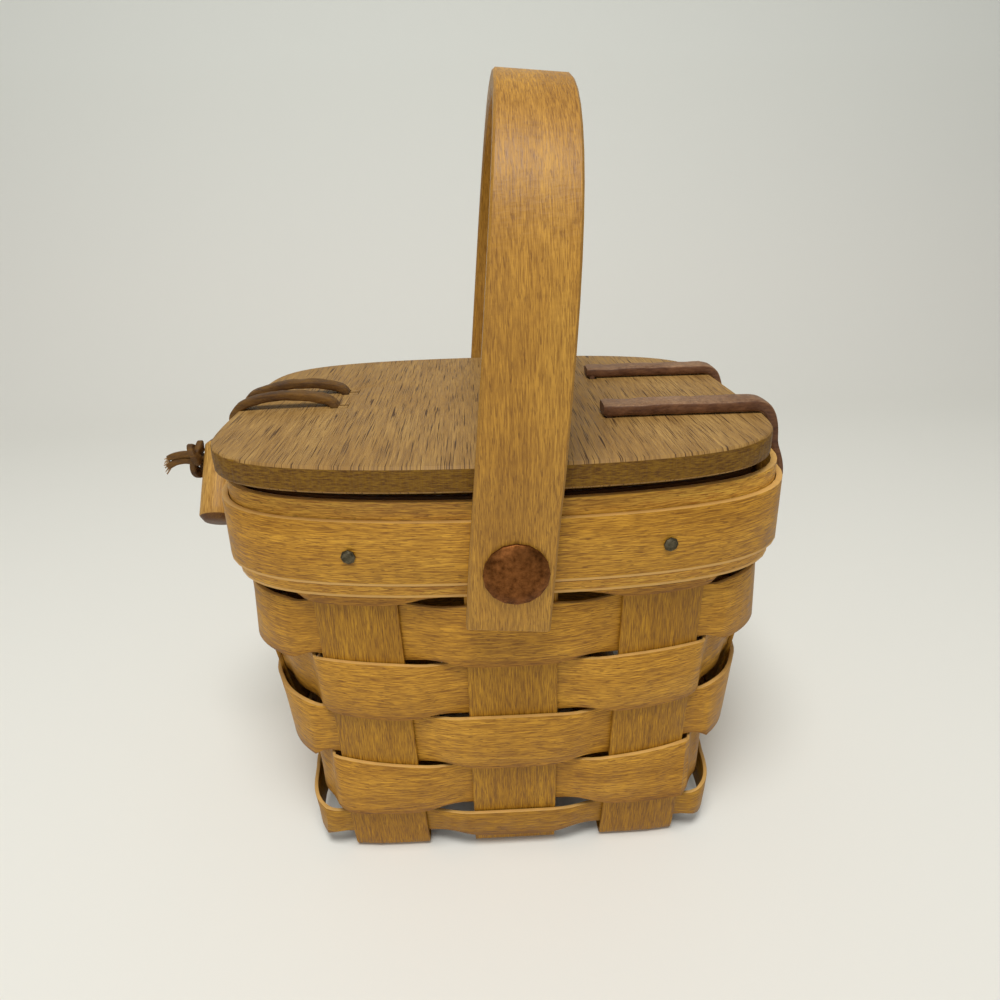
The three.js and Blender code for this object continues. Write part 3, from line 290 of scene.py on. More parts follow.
def sawn_edge(tones):
    """Faces that look sideways: the edge of a level board."""
    def paint(n, colour):
        facing = n.math("ABSOLUTE", n.axis("Z", n.normal))
        edge = speckled(n, tones, SAWN_EDGE_SCALES, SAWN_EDGE_SPREAD)
        return n.mix(n.remap(facing, 0.45, 0.75, 1.0, 0.0), colour, edge)
    return paint


def hoop_edge(tones):
    """Faces that look along X: the narrow edges of a hoop that stands across the object."""
    def paint(n, colour):
        facing = n.math("ABSOLUTE", n.axis("X", n.normal))
        edge = speckled(n, tones, HOOP_EDGE_SCALES, HOOP_EDGE_SPREAD)
        return n.mix(n.remap(facing, 0.5, 0.8, 0.0, HOOP_EDGE_AMOUNT), colour, edge)
    return paint


# Leather: broad tone, worn streaks and fine pebbles
LEATHER_BROAD_SCALE = 70
LEATHER_WORN_SCALE = 600
LEATHER_DEPTH = 0.00016


def leather(name, dark, light, grain=900.0, rough=(0.5, 0.75), streak=(1, 1, 1)):
    n = Nodes(name)
    broad = n.noise(n.mapping((LEATHER_BROAD_SCALE,) * 3), detail=4)
    pebble = n.cells(n.mapping((grain, grain, grain)))
    worn = n.noise(n.mapping(tuple(LEATHER_WORN_SCALE * s for s in streak)), detail=5, roughness=0.7)
    colour = n.ramp(n.weighted(broad, 0.45, worn, 0.55), [(0.36, dark), (0.64, light)])
    n.link(colour, n.shader.inputs["Base Color"])
    n.link(n.remap(worn, 0.3, 0.7, *rough), n.shader.inputs["Roughness"])
    normal = n.bump(n.math("ADD", pebble, worn), strength=0.6, distance=LEATHER_DEPTH)
    n.link(normal, n.shader.inputs["Normal"])
    n.constant("Specular IOR Level", 0.35)
    return n.material


# Metal: stained, with a fine unevenness
METAL_ROUGH = (0.35, 0.6)
METAL_DEPTH = 0.00004
FINE_PER_STAIN = 6


def metal(name, dark, light, scale):
    n = Nodes(name)
    stain = n.noise(n.mapping((scale,) * 3), detail=5, roughness=0.65)
    fine = n.noise(n.mapping((scale * FINE_PER_STAIN,) * 3), detail=3)
    n.link(n.ramp(stain, [(0.35, dark), (0.62, light)]), n.shader.inputs["Base Color"])
    n.link(n.remap(fine, 0.3, 0.7, *METAL_ROUGH), n.shader.inputs["Roughness"])
    n.link(n.bump(fine, strength=0.4, distance=METAL_DEPTH), n.shader.inputs["Normal"])
    n.constant("Metallic", 1.0)
    return n.material


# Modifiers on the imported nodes: welded corners, one subdivision for what is curved, a small round on
# the sharp edges, and smooth shading over the facets
CREASE_ANGLE = math.radians(34)
ROUND_FROM_ANGLE = math.radians(50)
WELD_DISTANCE = 0.00001


def geometry_group(name):
    tree = bpy.data.node_groups.new(name, "GeometryNodeTree")
    tree.interface.new_socket("Geometry", in_out="INPUT", socket_type="NodeSocketGeometry")
    tree.interface.new_socket("Geometry", in_out="OUTPUT", socket_type="NodeSocketGeometry")
    before = tree.nodes.new("NodeGroupInput").outputs[0]
    after = tree.nodes.new("NodeGroupOutput").inputs[0]
    return tree, before, after


def sharp_edges(tree):
    angle = tree.nodes.new("GeometryNodeInputMeshEdgeAngle")
    sharp = tree.nodes.new("FunctionNodeCompare")
    sharp.operation = "GREATER_THAN"
    sharp.inputs["B"].default_value = CREASE_ANGLE
    tree.links.new(angle.outputs["Unsigned Angle"], sharp.inputs["A"])
    return sharp.outputs["Result"]


def shading_group():
    tree, before, after = geometry_group("smooth_facets")
    weld = tree.nodes.new("GeometryNodeMergeByDistance")
    weld.inputs["Distance"].default_value = WELD_DISTANCE
    faces = tree.nodes.new("GeometryNodeSetShadeSmooth")
    faces.domain = "FACE"
    faces.inputs["Shade Smooth"].default_value = True
    edges = tree.nodes.new("GeometryNodeSetShadeSmooth")
    edges.domain = "EDGE"
    edges.inputs["Shade Smooth"].default_value = False
    tree.links.new(before, weld.inputs["Geometry"])
    tree.links.new(weld.outputs["Geometry"], faces.inputs["Geometry"])
    tree.links.new(faces.outputs["Geometry"], edges.inputs["Geometry"])
    tree.links.new(sharp_edges(tree), edges.inputs["Selection"])
    tree.links.new(edges.outputs["Geometry"], after)
    return tree


def course_group():
    tree, before, after = geometry_group("smooth_course")
    divide = tree.nodes.new("GeometryNodeSubdivisionSurface")
    divide.inputs["Level"].default_value = 1
    tree.links.new(before, divide.inputs["Mesh"])
    tree.links.new(sharp_edges(tree), divide.inputs["Edge Crease"])
    tree.links.new(divide.outputs["Mesh"], after)
    return tree


smooth_facets = shading_group()
smooth_course = course_group()


def dress(name, material, round_edge=0.0, curved=False):
    obj = nodes[name]
    obj.data.materials.clear()
    obj.data.materials.append(material)
    weld = obj.modifiers.new("weld", "WELD")
    weld.merge_threshold = WELD_DISTANCE
    if curved:
        course = obj.modifiers.new("course", "NODES")
        course.node_group = smooth_course
    if round_edge:
        bevel = obj.modifiers.new("round", "BEVEL")
        bevel.width = round_edge
        bevel.segments = 2
        bevel.limit_method = "ANGLE"
        bevel.angle_limit = ROUND_FROM_ANGLE
    shading = obj.modifiers.new("smooth", "NODES")
    shading.node_group = smooth_facets


# Splints: six rows, three bands and five stakes
WEAVER = (tone(146, 102, 26), tone(172, 126, 40), tone(188, 143, 54))
# The bottom row's tones are darker, a painted shade for the light falling off towards the floor
SHADED_LOW_WEAVER = (tone(133, 94, 20), tone(156, 113, 30), tone(170, 129, 40))
OUTER_BAND = (tone(162, 118, 36), tone(190, 142, 54), tone(206, 160, 70))
# The inner band's tones are darkened as painted shade for the basket's unlit inside
SHADED_INNER_BAND = (tone(60, 36, 10), tone(84, 54, 18), tone(100, 68, 28))
STAKE = (tone(130, 90, 18), tone(153, 110, 27), tone(167, 124, 37))
DASH = tone(96, 56, 14)
# Painted shade multiplied over the rows' lower edges
LOWER_EDGE_SHADE = tone(168, 130, 84)
# Painted highlight on the splints' upper edges
CREST_HIGHLIGHT = tone(206, 162, 92)
# Painted highlight along the bands' lower corners
LEDGE_HIGHLIGHT = tone(216, 170, 98)
# Painted shadow on the faces just below the bands
UNDER_LEDGE_SHADOW = tone(92, 54, 14)
WEAVER_GRAIN = (3400, 190)
STAKE_GRAIN = (3200, 200)
ROW_COUNT = 6
SPLINT_ROUND = 0.0003
LOW_SHADE_RISE = 0.004
LOW_SHADE_AMOUNT = 0.45
LEDGE_HIGHLIGHT_HEIGHT = 0.0006
LEDGE_HIGHLIGHT_AMOUNT = 0.8
TRIM_SHADOW_REACH = 0.0012
TRIM_SHADOW_AMOUNT = 0.75
OUTER_SHADOW_REACH = 0.0014
OUTER_SHADOW_AMOUNT = 0.8
BEHIND_BAND = 0.001

trim_low, trim_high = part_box("rim_trim_band")
outer_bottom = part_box("rim_outer_band")[0].z


def ledge_highlight(bottom):
    """Painted highlight: a pale line along a band's lower corner, where the corner would catch the light."""
    return level_line(bottom, bottom + LEDGE_HIGHLIGHT_HEIGHT, LEDGE_HIGHLIGHT, LEDGE_HIGHLIGHT_AMOUNT)


def under_ledge_shadow(bottom, reach, amount):
    """Painted shadow on the face behind a band, just below it."""
    return level_line(bottom - reach, bottom + BEHIND_BAND, UNDER_LEDGE_SHADOW, amount)


# Rows and outer bands end with a painted highlight on their upper edges
def weaver_wood(name, tones, seed, painted):
    return wood(name, tones, ACROSS_Z, seed, fibre_scales=WEAVER_GRAIN, contrast=0.85, dash_tone=DASH,
                painted=[*painted, crest_highlight(CREST_HIGHLIGHT)])


def stake_wood(name, across, seed):
    return wood(name, STAKE, across, seed, fibre_scales=STAKE_GRAIN, dash=0.45, dash_tone=DASH)


for i in range(ROW_COUNT):
    row = f"weaver_row_{i}"
    # The bottom row takes the darker tones, a painted shade
    tones = SHADED_LOW_WEAVER if i == ROW_COUNT - 1 else WEAVER
    # Painted shade towards each row's lower edge
    painted = [low_shade(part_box(row)[0].z, LOW_SHADE_RISE, LOW_SHADE_AMOUNT, LOWER_EDGE_SHADE)]
    if i == 0:
        # Painted shadow on the top row just below the outer band
        painted.append(under_ledge_shadow(outer_bottom, OUTER_SHADOW_REACH, OUTER_SHADOW_AMOUNT))
    dress(row, weaver_wood(f"weaver_{i}", tones, i + 0.37, painted), SPLINT_ROUND, curved=True)

# Painted shade: the inner band is dark to stand for the unlit inside
shaded_inner_wood = wood("band_0", SHADED_INNER_BAND, ACROSS_Z, seed=7.6, dash_tone=DASH)
# Outer band: painted shadow below the trim band and a painted highlight on its lower corner
outer_painted = [under_ledge_shadow(trim_low.z, TRIM_SHADOW_REACH, TRIM_SHADOW_AMOUNT), ledge_highlight(outer_bottom)]
outer_wood = weaver_wood("band_1", OUTER_BAND, 8.6, outer_painted)
# Trim band: painted highlight on its lower corner
trim_wood = weaver_wood("band_2", WEAVER, 9.6, [ledge_highlight(trim_low.z)])
dress("rim_inner_band", shaded_inner_wood, SPLINT_ROUND)
dress("rim_outer_band", outer_wood, SPLINT_ROUND)
dress("rim_trim_band", trim_wood, SPLINT_ROUND)

for i, name in enumerate(("stake_front_left", "stake_front_centre", "stake_front_right")):
    dress(name, stake_wood(f"stake_{i}", ACROSS_X, i + 11.2), SPLINT_ROUND)
for i, name in enumerate(("stake_side_front", "stake_side_back")):
    dress(name, stake_wood(f"side_stake_{i}", ACROSS_Y, i + 15.4), SPLINT_ROUND)

# Handle and lid
HANDLE = (tone(150, 106, 32), tone(168, 123, 44), tone(180, 137, 56))
HANDLE_EDGE = (tone(142, 98, 34), tone(168, 124, 50))
HANDLE_LEAN = math.radians(4.55)
HANDLE_ROUND = 0.0006
LID = (tone(132, 98, 50), tone(150, 117, 66), tone(164, 132, 80))
LID_DASH = tone(74, 48, 22)
LID_EDGE = (tone(84, 50, 0), tone(132, 94, 12))
LID_ROUND = 0.0004

handle_wood = wood("handle", HANDLE, ACROSS_X, seed=19.3, turn=(0, -HANDLE_LEAN, 0),
                   fibre_scales=(3400, 230), contrast=0.6, dash=0.45, dash_tone=DASH, rough=(0.42, 0.58),
                   coat=0.16, ripple=0.3, painted=[hoop_edge(HANDLE_EDGE)])
lid_wood = wood("lid", LID, ACROSS_X, seed=23.9, fibre_scales=(2600, 110), contrast=0.5, dash=1.0,
                dash_tone=LID_DASH, dash_scale_along=62, rough=(0.55, 0.75), painted=[sawn_edge(LID_EDGE)])
dress("handle", handle_wood, HANDLE_ROUND)
dress("lid", lid_wood, LID_ROUND, curved=True)

# Rivets, burrs and nails
copper = metal("copper", tone(84, 48, 20), tone(132, 82, 42), scale=480)
steel = metal("steel", tone(58, 54, 40), tone(104, 96, 78), scale=600)
for name in ("rivet_front", "rivet_back", "burr_front", "burr_back"):
    dress(name, copper)
for name in nodes:
    if name.startswith("nail_"):
        dress(name, steel)

# Leathers of the straps and laces
strap_face = leather("strap_face", tone(98, 64, 40), tone(156, 121, 88))
strap_edge = leather("strap_edge", tone(66, 34, 16), tone(124, 84, 52), streak=(0.4, 1, 1.6))
lace_leather = leather("lace", tone(56, 30, 4), tone(116, 80, 26), grain=1400, rough=(0.6, 0.85),
                       streak=(0.3, 0.3, 1.4))
frayed = leather("frayed", tone(112, 82, 52), tone(168, 138, 102), grain=1400, rough=(0.7, 0.9))

# Strips and laces: a rounded flat section carried along a smooth line
SECTION_STEPS = 20
SECTION_SQUARENESS = 5.0
SPLINE_STEPS = 14
END_SHRINK = (0.86, 0.97)
SWAY_SCALE = 260
EDGE_COSINE = 0.86
SHARP_FOLD = math.radians(60)


def mm(*values):
    """Millimetres to metres."""
    return Vector([value / 1000 for value in values])


def stations(rows):
    """Keys of a strip from rows of x, y, z, width and thickness in millimetres."""
    return [(mm(x, y, z), (width / 1000, thickness / 1000)) for x, y, z, width, thickness in rows]


def between(a, b, c, d, t):
    """The smooth curve from b to c at the share t, where a comes before b and d after c."""
    square = 2 * a - 5 * b + 4 * c - d
    cube = 3 * b - a - 3 * c + d
    return 0.5 * (2 * b + (c - a) * t + square * t * t + cube * t ** 3)


def spline(keys, spacing):
    """A smooth line through the keys, each a place and the numbers that go with it, at even steps."""
    rows = [[*place, *numbers] for place, numbers in keys]
    first = [2 * a - b for a, b in zip(rows[0], rows[1])]
    last = [2 * a - b for a, b in zip(rows[-1], rows[-2])]
    rows = [first, *rows, last]
    fine = []
    for i in range(1, len(rows) - 2):
        for step in range(SPLINE_STEPS):
            t = step / SPLINE_STEPS
            fine.append([between(a, b, c, d, t) for a, b, c, d in zip(*rows[i - 1:i + 3])])
    fine.append(rows[-2])
    lengths = [0.0]
    for a, b in zip(fine, fine[1:]):
        lengths.append(lengths[-1] + (Vector(b[:3]) - Vector(a[:3])).length)
    count = max(2, round(lengths[-1] / spacing))
    line = []
    at = 0
    for i in range(count + 1):
        wanted = lengths[-1] * i / count
        while at < len(lengths) - 2 and lengths[at + 1] < wanted:
            at += 1
        part = min(1.0, (wanted - lengths[at]) / max(lengths[at + 1] - lengths[at], 1e-9))
        line.append([a + (b - a) * part for a, b in zip(fine[at], fine[at + 1])])
    return line


def strip(keys, across, spacing=0.0009, wave=0.00012, seed=0.0, edge_slot=0, blunt=True):
    """Mesh data of a strip, where each key is a place with a width and a thickness.

    Across gives the direction of the width, spacing the length of a step and wave the unevenness.
    """
    line = spline(keys, spacing)
    places = [Vector(row[:3]) for row in line]
    ring_count = len(line)
    power = 2 / SECTION_SQUARENESS
    verts, faces, slots = [], [], []
    for i, row in enumerate(line):
        along = (places[min(i + 1, ring_count - 1)] - places[max(i - 1, 0)]).normalized()
        wide = across(i / (ring_count - 1), along)
        wide = (wide - along * wide.dot(along)).normalized()
        thick = along.cross(wide)
        width, thickness = row[3:5]
        from_end = min(i, ring_count - 1 - i)
        shrink = END_SHRINK[from_end] if blunt and from_end < len(END_SHRINK) else 1.0
        for k in range(SECTION_STEPS):
            angle = 2 * math.pi * (k + 0.5) / SECTION_STEPS
            x = math.copysign(abs(math.cos(angle)) ** power, math.cos(angle))
            y = math.copysign(abs(math.sin(angle)) ** power, math.sin(angle))
            point = places[i] + wide * (x * width / 2 * shrink) + thick * (y * thickness / 2 * shrink)
            sway = noise.noise(point * SWAY_SCALE + Vector((seed, 0, 0))) * wave
            verts.append(point + thick * sway)
    for i in range(ring_count - 1):
        ring = i * SECTION_STEPS
        for k in range(SECTION_STEPS):
            other = (k + 1) % SECTION_STEPS
            faces.append((ring + k, ring + other, ring + SECTION_STEPS + other, ring + SECTION_STEPS + k))
            middle = 2 * math.pi * (k + 1) / SECTION_STEPS
            slots.append(edge_slot if abs(math.cos(middle)) > EDGE_COSINE else 0)
    last = (ring_count - 1) * SECTION_STEPS
    faces.append(tuple(reversed(range(SECTION_STEPS))))
    faces.append(tuple(range(last, last + SECTION_STEPS)))
    slots += [edge_slot, edge_slot]
    return verts, faces, slots


def piece(name, parts, materials, place=None):
    """One object from several parts' mesh data; each face keeps its own material."""
    verts, faces, slots = [], [], []
    for part_verts, part_faces, part_slots in parts:
        start = len(verts)
        verts += part_verts
        faces += [tuple(start + index for index in face) for face in part_faces]
        slots += part_slots
    mesh = bpy.data.meshes.new(name)
    mesh.from_pydata(verts, [], faces)
    for material in materials:
        mesh.materials.append(material)
    mesh.polygons.foreach_set("material_index", slots)
    mesh.polygons.foreach_set("use_smooth", [True] * len(mesh.polygons))
    mesh.update()
    made = bmesh.new()
    made.from_mesh(mesh)
    bmesh.ops.recalc_face_normals(made, faces=made.faces)
    made.to_mesh(mesh)
    made.free()
    mesh.set_sharp_from_angle(angle=SHARP_FOLD)
    obj = bpy.data.objects.new(name, mesh)
    bpy.context.scene.collection.objects.link(obj)
    if place is not None:
        obj.matrix_world = place
    return obj


X_AXIS = Vector((1, 0, 0))
Y_AXIS = Vector((0, 1, 0))
lid_low, lid_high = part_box("lid")
LID_TOP = lid_high.z * 1000
LID_UNDER = lid_low.z * 1000
TRIM_OUT = trim_high.x * 1000


def width_along_y(part, along):
    return Y_AXIS


# Hinge straps: blunt on the lid, over its end and down the rim, with a thinner tail through the slot
STRAP_LEG_BOTTOM = 107.2
TAIL_WIDTH = 6.6
TAIL_END_WIDTH = 6.8
TAIL_THICKNESS = 2.0


def hinge_strap(name, node, slot_x, slot_y, middle_y, width, thickness, seed):
    top = LID_TOP + thickness / 2
    under = LID_UNDER - 1.3
    route = [
        (slot_x - 2.0, top, 1.0, 0.98), (slot_x + 0.6, top, 1.0, 1.0), (slot_x + 7, top - 0.15, 1.02, 0.94),
        (slot_x + 15, top + 0.05, 0.98, 1.04), (slot_x + 30, top - 0.05, 1.0, 0.98),
        (slot_x + 41, top + 0.05, 1.0, 1.0), (77.6, top + 0.1, 1.0, 1.0), (80.6, top - 0.7, 1.0, 0.98),
        (82.6, top - 2.7, 1.0, 0.96), (83.8, top - 5.6, 1.0, 0.93), (84.7, 133.6, 1.0, 0.85),
        (86.1, 129.0, 1.0, 0.65), (TRIM_OUT + 1.15, 124.6, 1.0, 0.56), (TRIM_OUT + 1.4, 120.5, 1.0, 0.68),
        (TRIM_OUT + 1.45, 113, 1.0, 0.7), (TRIM_OUT + 1.45, STRAP_LEG_BOTTOM, 1.0, 0.7),
    ]
    shown = [(x, middle_y, z, width * wide, thickness * thick) for x, z, wide, thick in route]
    tail = [
        (slot_x, slot_y, top, TAIL_WIDTH, TAIL_THICKNESS),
        (slot_x, slot_y, LID_TOP - 2, TAIL_WIDTH, TAIL_THICKNESS),
        (slot_x, slot_y, LID_UNDER + 1.2, TAIL_WIDTH, TAIL_THICKNESS),
        (slot_x + 0.9, slot_y, LID_UNDER - 0.8, TAIL_WIDTH, TAIL_THICKNESS),
        (slot_x + 3, slot_y, under, TAIL_END_WIDTH, TAIL_THICKNESS),
        (slot_x + 8.6, slot_y, under - 0.05, TAIL_END_WIDTH, TAIL_THICKNESS),
    ]
    strap = piece(name, [
        strip(stations(shown), width_along_y, wave=0.00022, seed=seed, edge_slot=1),
        strip(stations(tail), width_along_y, seed=seed + 5, edge_slot=1),
    ], (strap_face, strap_edge))
    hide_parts(node)
    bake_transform(strap)


hinge_strap("strap_front", "hinge_strap_front", slot_x=33, slot_y=-25.5, middle_y=-25.3,
            width=9.0, thickness=3.9, seed=1.5)
hinge_strap("strap_back", "hinge_strap_back", slot_x=36, slot_y=25, middle_y=26.0,
            width=8.6, thickness=3.5, seed=8.5)

# Closure loop: a lace out of one slit, arched to the lid's end, down round the thong and back
FRONT_SLIT = (-54.5, -4.8)
BACK_SLIT = (-53.5, 12.5)
LACE_WIDTH = 4.8
LOOP_X = -88.3
LOOP_FRONT_Y = -6.5
LOOP_BACK_Y = 8.5
LOOP_RADIUS = (LOOP_BACK_Y - LOOP_FRONT_Y) / 2
LOOP_MIDDLE_Y = (LOOP_BACK_Y + LOOP_FRONT_Y) / 2
LOOP_TURN_Z = 122.35
LOOP_TURN_STEPS = 8
LOOP_TURN_THICKNESS = 2.2
TURN_SHARE = 0.12
TURN_LEAN = 0.2


def strand(slit, edge_y, lift):
    """One side of the loop, from under the lid to the height of the thong."""
    x, y = slit

    def towards_edge(share):
        return y + (edge_y - y) * share

    return [
        (x + 7, y, LID_UNDER - 1.2, 5.6, 1.8), (x + 2.2, y, LID_UNDER - 1.2, 5.6, 1.8),
        (x + 0.3, y, LID_UNDER + 1.4, 5.4, 2.2), (x - 0.2, y, LID_TOP - 1.2, 5.2, 2.5),
        (x - 1.3, y, LID_TOP + 1.0, 5.0, 2.8), (x - 3.6, y, LID_TOP + 2.2 + lift * 0.5, LACE_WIDTH, 2.9),
        (x - 8, towards_edge(0.15), LID_TOP + 3.3 + lift, LACE_WIDTH, 2.9),
        (x - 14, towards_edge(0.4), LID_TOP + 3.9 + lift, LACE_WIDTH, 2.9),
        (x - 20.5, towards_edge(0.65), LID_TOP + 3.8 + lift * 0.6, LACE_WIDTH, 2.9),
        (x - 26, towards_edge(0.85), LID_TOP + 2.9, LACE_WIDTH, 2.8),
        (-84.4, edge_y, LID_TOP + 1.5, LACE_WIDTH, 2.7), (-87.0, edge_y, LID_TOP - 0.4, LACE_WIDTH, 2.5),
        (LOOP_X - 0.1, edge_y, LID_TOP - 3.6, LACE_WIDTH, 2.3),
        (LOOP_X, edge_y, LID_TOP - 9, LACE_WIDTH, LOOP_TURN_THICKNESS),
    ]


def closure_loop():
    front = strand(FRONT_SLIT, LOOP_FRONT_Y, 0.0)
    back = strand(BACK_SLIT, LOOP_BACK_Y, -0.1)
    turn = []
    for i in range(LOOP_TURN_STEPS + 1):
        angle = math.pi * i / LOOP_TURN_STEPS
        y = LOOP_MIDDLE_Y - LOOP_RADIUS * math.cos(angle)
        z = LOOP_TURN_Z - LOOP_RADIUS * math.sin(angle)
        turn.append((LOOP_X, y, z, LACE_WIDTH, LOOP_TURN_THICKNESS))

    def across(part, along):
        """Along Y on the strands, and square to X and to the lace where it turns below the thong."""
        if abs(along.x) < TURN_LEAN and abs(part - 0.5) < TURN_SHARE:
            return X_AXIS.cross(along)
        return Y_AXIS if part < 0.5 else -Y_AXIS

    keys = stations(front + turn + back[::-1])
    loop = piece("loop", [strip(keys, across, wave=0.0003, seed=17.5)], (lace_leather,))
    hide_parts("closure_loop")
    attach(loop, "lid")


closure_loop()

# Lips of the lid's two slits, which leave a narrow cut beside the lace
SLIT_GAP = 0.9
SLIT_HALF = 3.5
LIP_START = 0.9
LIP_END = 4.05
LIP_DEPTH = 2.2
LIP_BELOW_TOP = 0.17
BOX_FACES = ((0, 3, 2, 1), (4, 5, 6, 7), (0, 1, 5, 4), (1, 2, 6, 5), (2, 3, 7, 6), (3, 0, 4, 7))


def slit_lips():
    heights = (LID_TOP - LIP_DEPTH, LID_TOP - LIP_BELOW_TOP)
    parts = []
    for slit_x, slit_y in (FRONT_SLIT, BACK_SLIT):
        for near, far in ((-SLIT_HALF, -SLIT_GAP / 2), (SLIT_GAP / 2, SLIT_HALF)):
            corners = ((LIP_START, near), (LIP_END, near), (LIP_END, far), (LIP_START, far))
            verts = [mm(slit_x + x, slit_y + y, z) for z in heights for x, y in corners]
            parts.append((verts, BOX_FACES, [0] * len(BOX_FACES)))
    lips = piece("slit_lips", parts, (lid_wood,))
    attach(lips, "lid")


slit_lips()

# Thong: knotted inside the rim, out through the toggle, tied in an overhand knot, with a frayed tail
THONG_Y = 0.5
THONG_Z = 121.8
THONG_WIDTH = 2.8
KNOT_X = -105.7
KNOT_REACH = 5.4
KNOT_FLATNESS = 0.68
KNOT_LIFT = 0.9
KNOT_DEPTH = 1.2
KNOT_OPEN = 0.42
KNOT_STEPS = 22
STOP_KNOT_X = -73.3
STOP_KNOT_REACH = 3.1
STOP_KNOT_DEPTH = 1.1
KNOT_STRAIGHT = 0.35
KNOT_STRAIGHT_ACROSS = Vector((0, 0.3, 0.95))
PLIES = ((1.15, 0.5), (-1.15, -0.35))
PLY_THICKNESS = 2.4
PLY_ACROSS = Vector((0, 0.2, 1))
FRAY_COUNT = 11
FRAY_ROOT_X = -115.0
FRAY_TIP_X = -116.95
FRAY_ROOT_SIZE = mm(1.0, 0.8)
FRAY_BEND_SIZE = mm(0.7, 0.5)
FRAY_TIP_SIZE = mm(0.2, 0.2)
THONG_SPACING = 0.0006


def knot(middle_x, reach, depth, lift, width, thickness):
    """An overhand knot's line: a trefoil, opened where the lace comes in and goes out."""
    line = []
    for i in range(KNOT_STEPS + 1):
        angle = KNOT_OPEN + (2 * math.pi - 2 * KNOT_OPEN) * i / KNOT_STEPS
        x = middle_x - depth * math.sin(3 * angle)
        y = THONG_Y + KNOT_FLATNESS * reach * (math.sin(angle) + 2 * math.sin(2 * angle)) / 3
        z = THONG_Z + lift + reach * (math.cos(angle) - 2 * math.cos(2 * angle)) / 3
        line.append((x, y, z, width, thickness))
    return line


def knot_across(part, along):
    """Square to X and to the lace, except where the lace itself runs nearly along X."""
    flat = X_AXIS.cross(along)
    return flat if flat.length > KNOT_STRAIGHT else KNOT_STRAIGHT_ACROSS


def ply_across(part, along):
    return PLY_ACROSS


def tail_plies():
    """The two ends of the lace beyond the knot, one above the other."""
    plies = []
    for ply, (rise, spread) in enumerate(PLIES):
        route = [
            (-104.6, 0.2, 0.4 + rise * 0.6, 2.2), (-107.4, -0.4, 1.1 + rise, 2.3),
            (-110, -0.7, 1.5 + rise, 2.3), (-113, -1.1, 1.1 + rise, 2.3),
            (-115.2 - 0.5 * ply, -1.5, rise + spread, 2.0),
        ]
        rows = [(x, THONG_Y + y, THONG_Z + z, width, PLY_THICKNESS) for x, y, z, width in route]
        plies.append(strip(stations(rows), ply_across, spacing=THONG_SPACING, wave=0.0002, seed=36.5 + ply))
    return plies


def frayed_end():
    """Loose fibres at the end of the tail, each a bent hair."""
    fibres = []
    middle = (FRAY_COUNT - 1) / 2
    for i in range(FRAY_COUNT):
        spread = (i - middle) / middle
        root = mm(FRAY_ROOT_X, THONG_Y - 1.4, THONG_Z + 0.2 + 1.9 * spread)
        tip_x = FRAY_TIP_X + 0.5 * abs(spread)
        tip_y = THONG_Y - 2.3 + 0.5 * (i % 3)
        tip_z = THONG_Z - 1.2 + 2.6 * spread - 0.9 * (i % 2)
        tip = mm(tip_x, tip_y, tip_z)
        bend = (root + tip) / 2 + mm(0, 0.2, -0.2)
        keys = [(root, FRAY_ROOT_SIZE), (bend, FRAY_BEND_SIZE), (tip, FRAY_TIP_SIZE)]
        verts, faces, slots = strip(keys, width_along_y, spacing=0.0004, wave=0.0, blunt=False)
        fibres.append((verts, faces, [1] * len(slots)))
    return fibres


def toggle_thong():
    through = [(x, THONG_Y, THONG_Z, THONG_WIDTH, THONG_WIDTH) for x in (-71.6, -76, -84, -92, -99)]
    through.append((-102.6, THONG_Y, THONG_Z - 0.2, THONG_WIDTH, 2.6))
    tied = through + knot(KNOT_X, KNOT_REACH, KNOT_DEPTH, KNOT_LIFT, width=3.9, thickness=2.2)
    stop = knot(STOP_KNOT_X, STOP_KNOT_REACH, STOP_KNOT_DEPTH, lift=0.0, width=2.4, thickness=1.8)
    parts = [strip(stations(tied), knot_across, spacing=THONG_SPACING, seed=31.5)]
    parts += tail_plies()
    parts += frayed_end()
    parts.append(strip(stations(stop), knot_across, spacing=THONG_SPACING, seed=44.5))
    thong = piece("thong", parts, (lace_leather, frayed))
    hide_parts("toggle_thong")
    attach(thong, "basket")


toggle_thong()

# Toggle: a chamfered dowel lying across the thong
TOGGLE = (tone(138, 98, 40), tone(172, 132, 66), tone(196, 158, 90))
TOGGLE_END = (tone(84, 50, 12), tone(84, 50, 12), tone(124, 88, 34))
TOGGLE_X = -96.9
TOGGLE_SLOPE = math.radians(50)
TOGGLE_RADIUS = 6.35
TOGGLE_LOW = -22.5
TOGGLE_HIGH = 6.4
TOGGLE_CHAMFER = 1.6
TOGGLE_PLAIN_FROM = 4
TOGGLE_SPANS = 5
TOGGLE_STEPS = 56


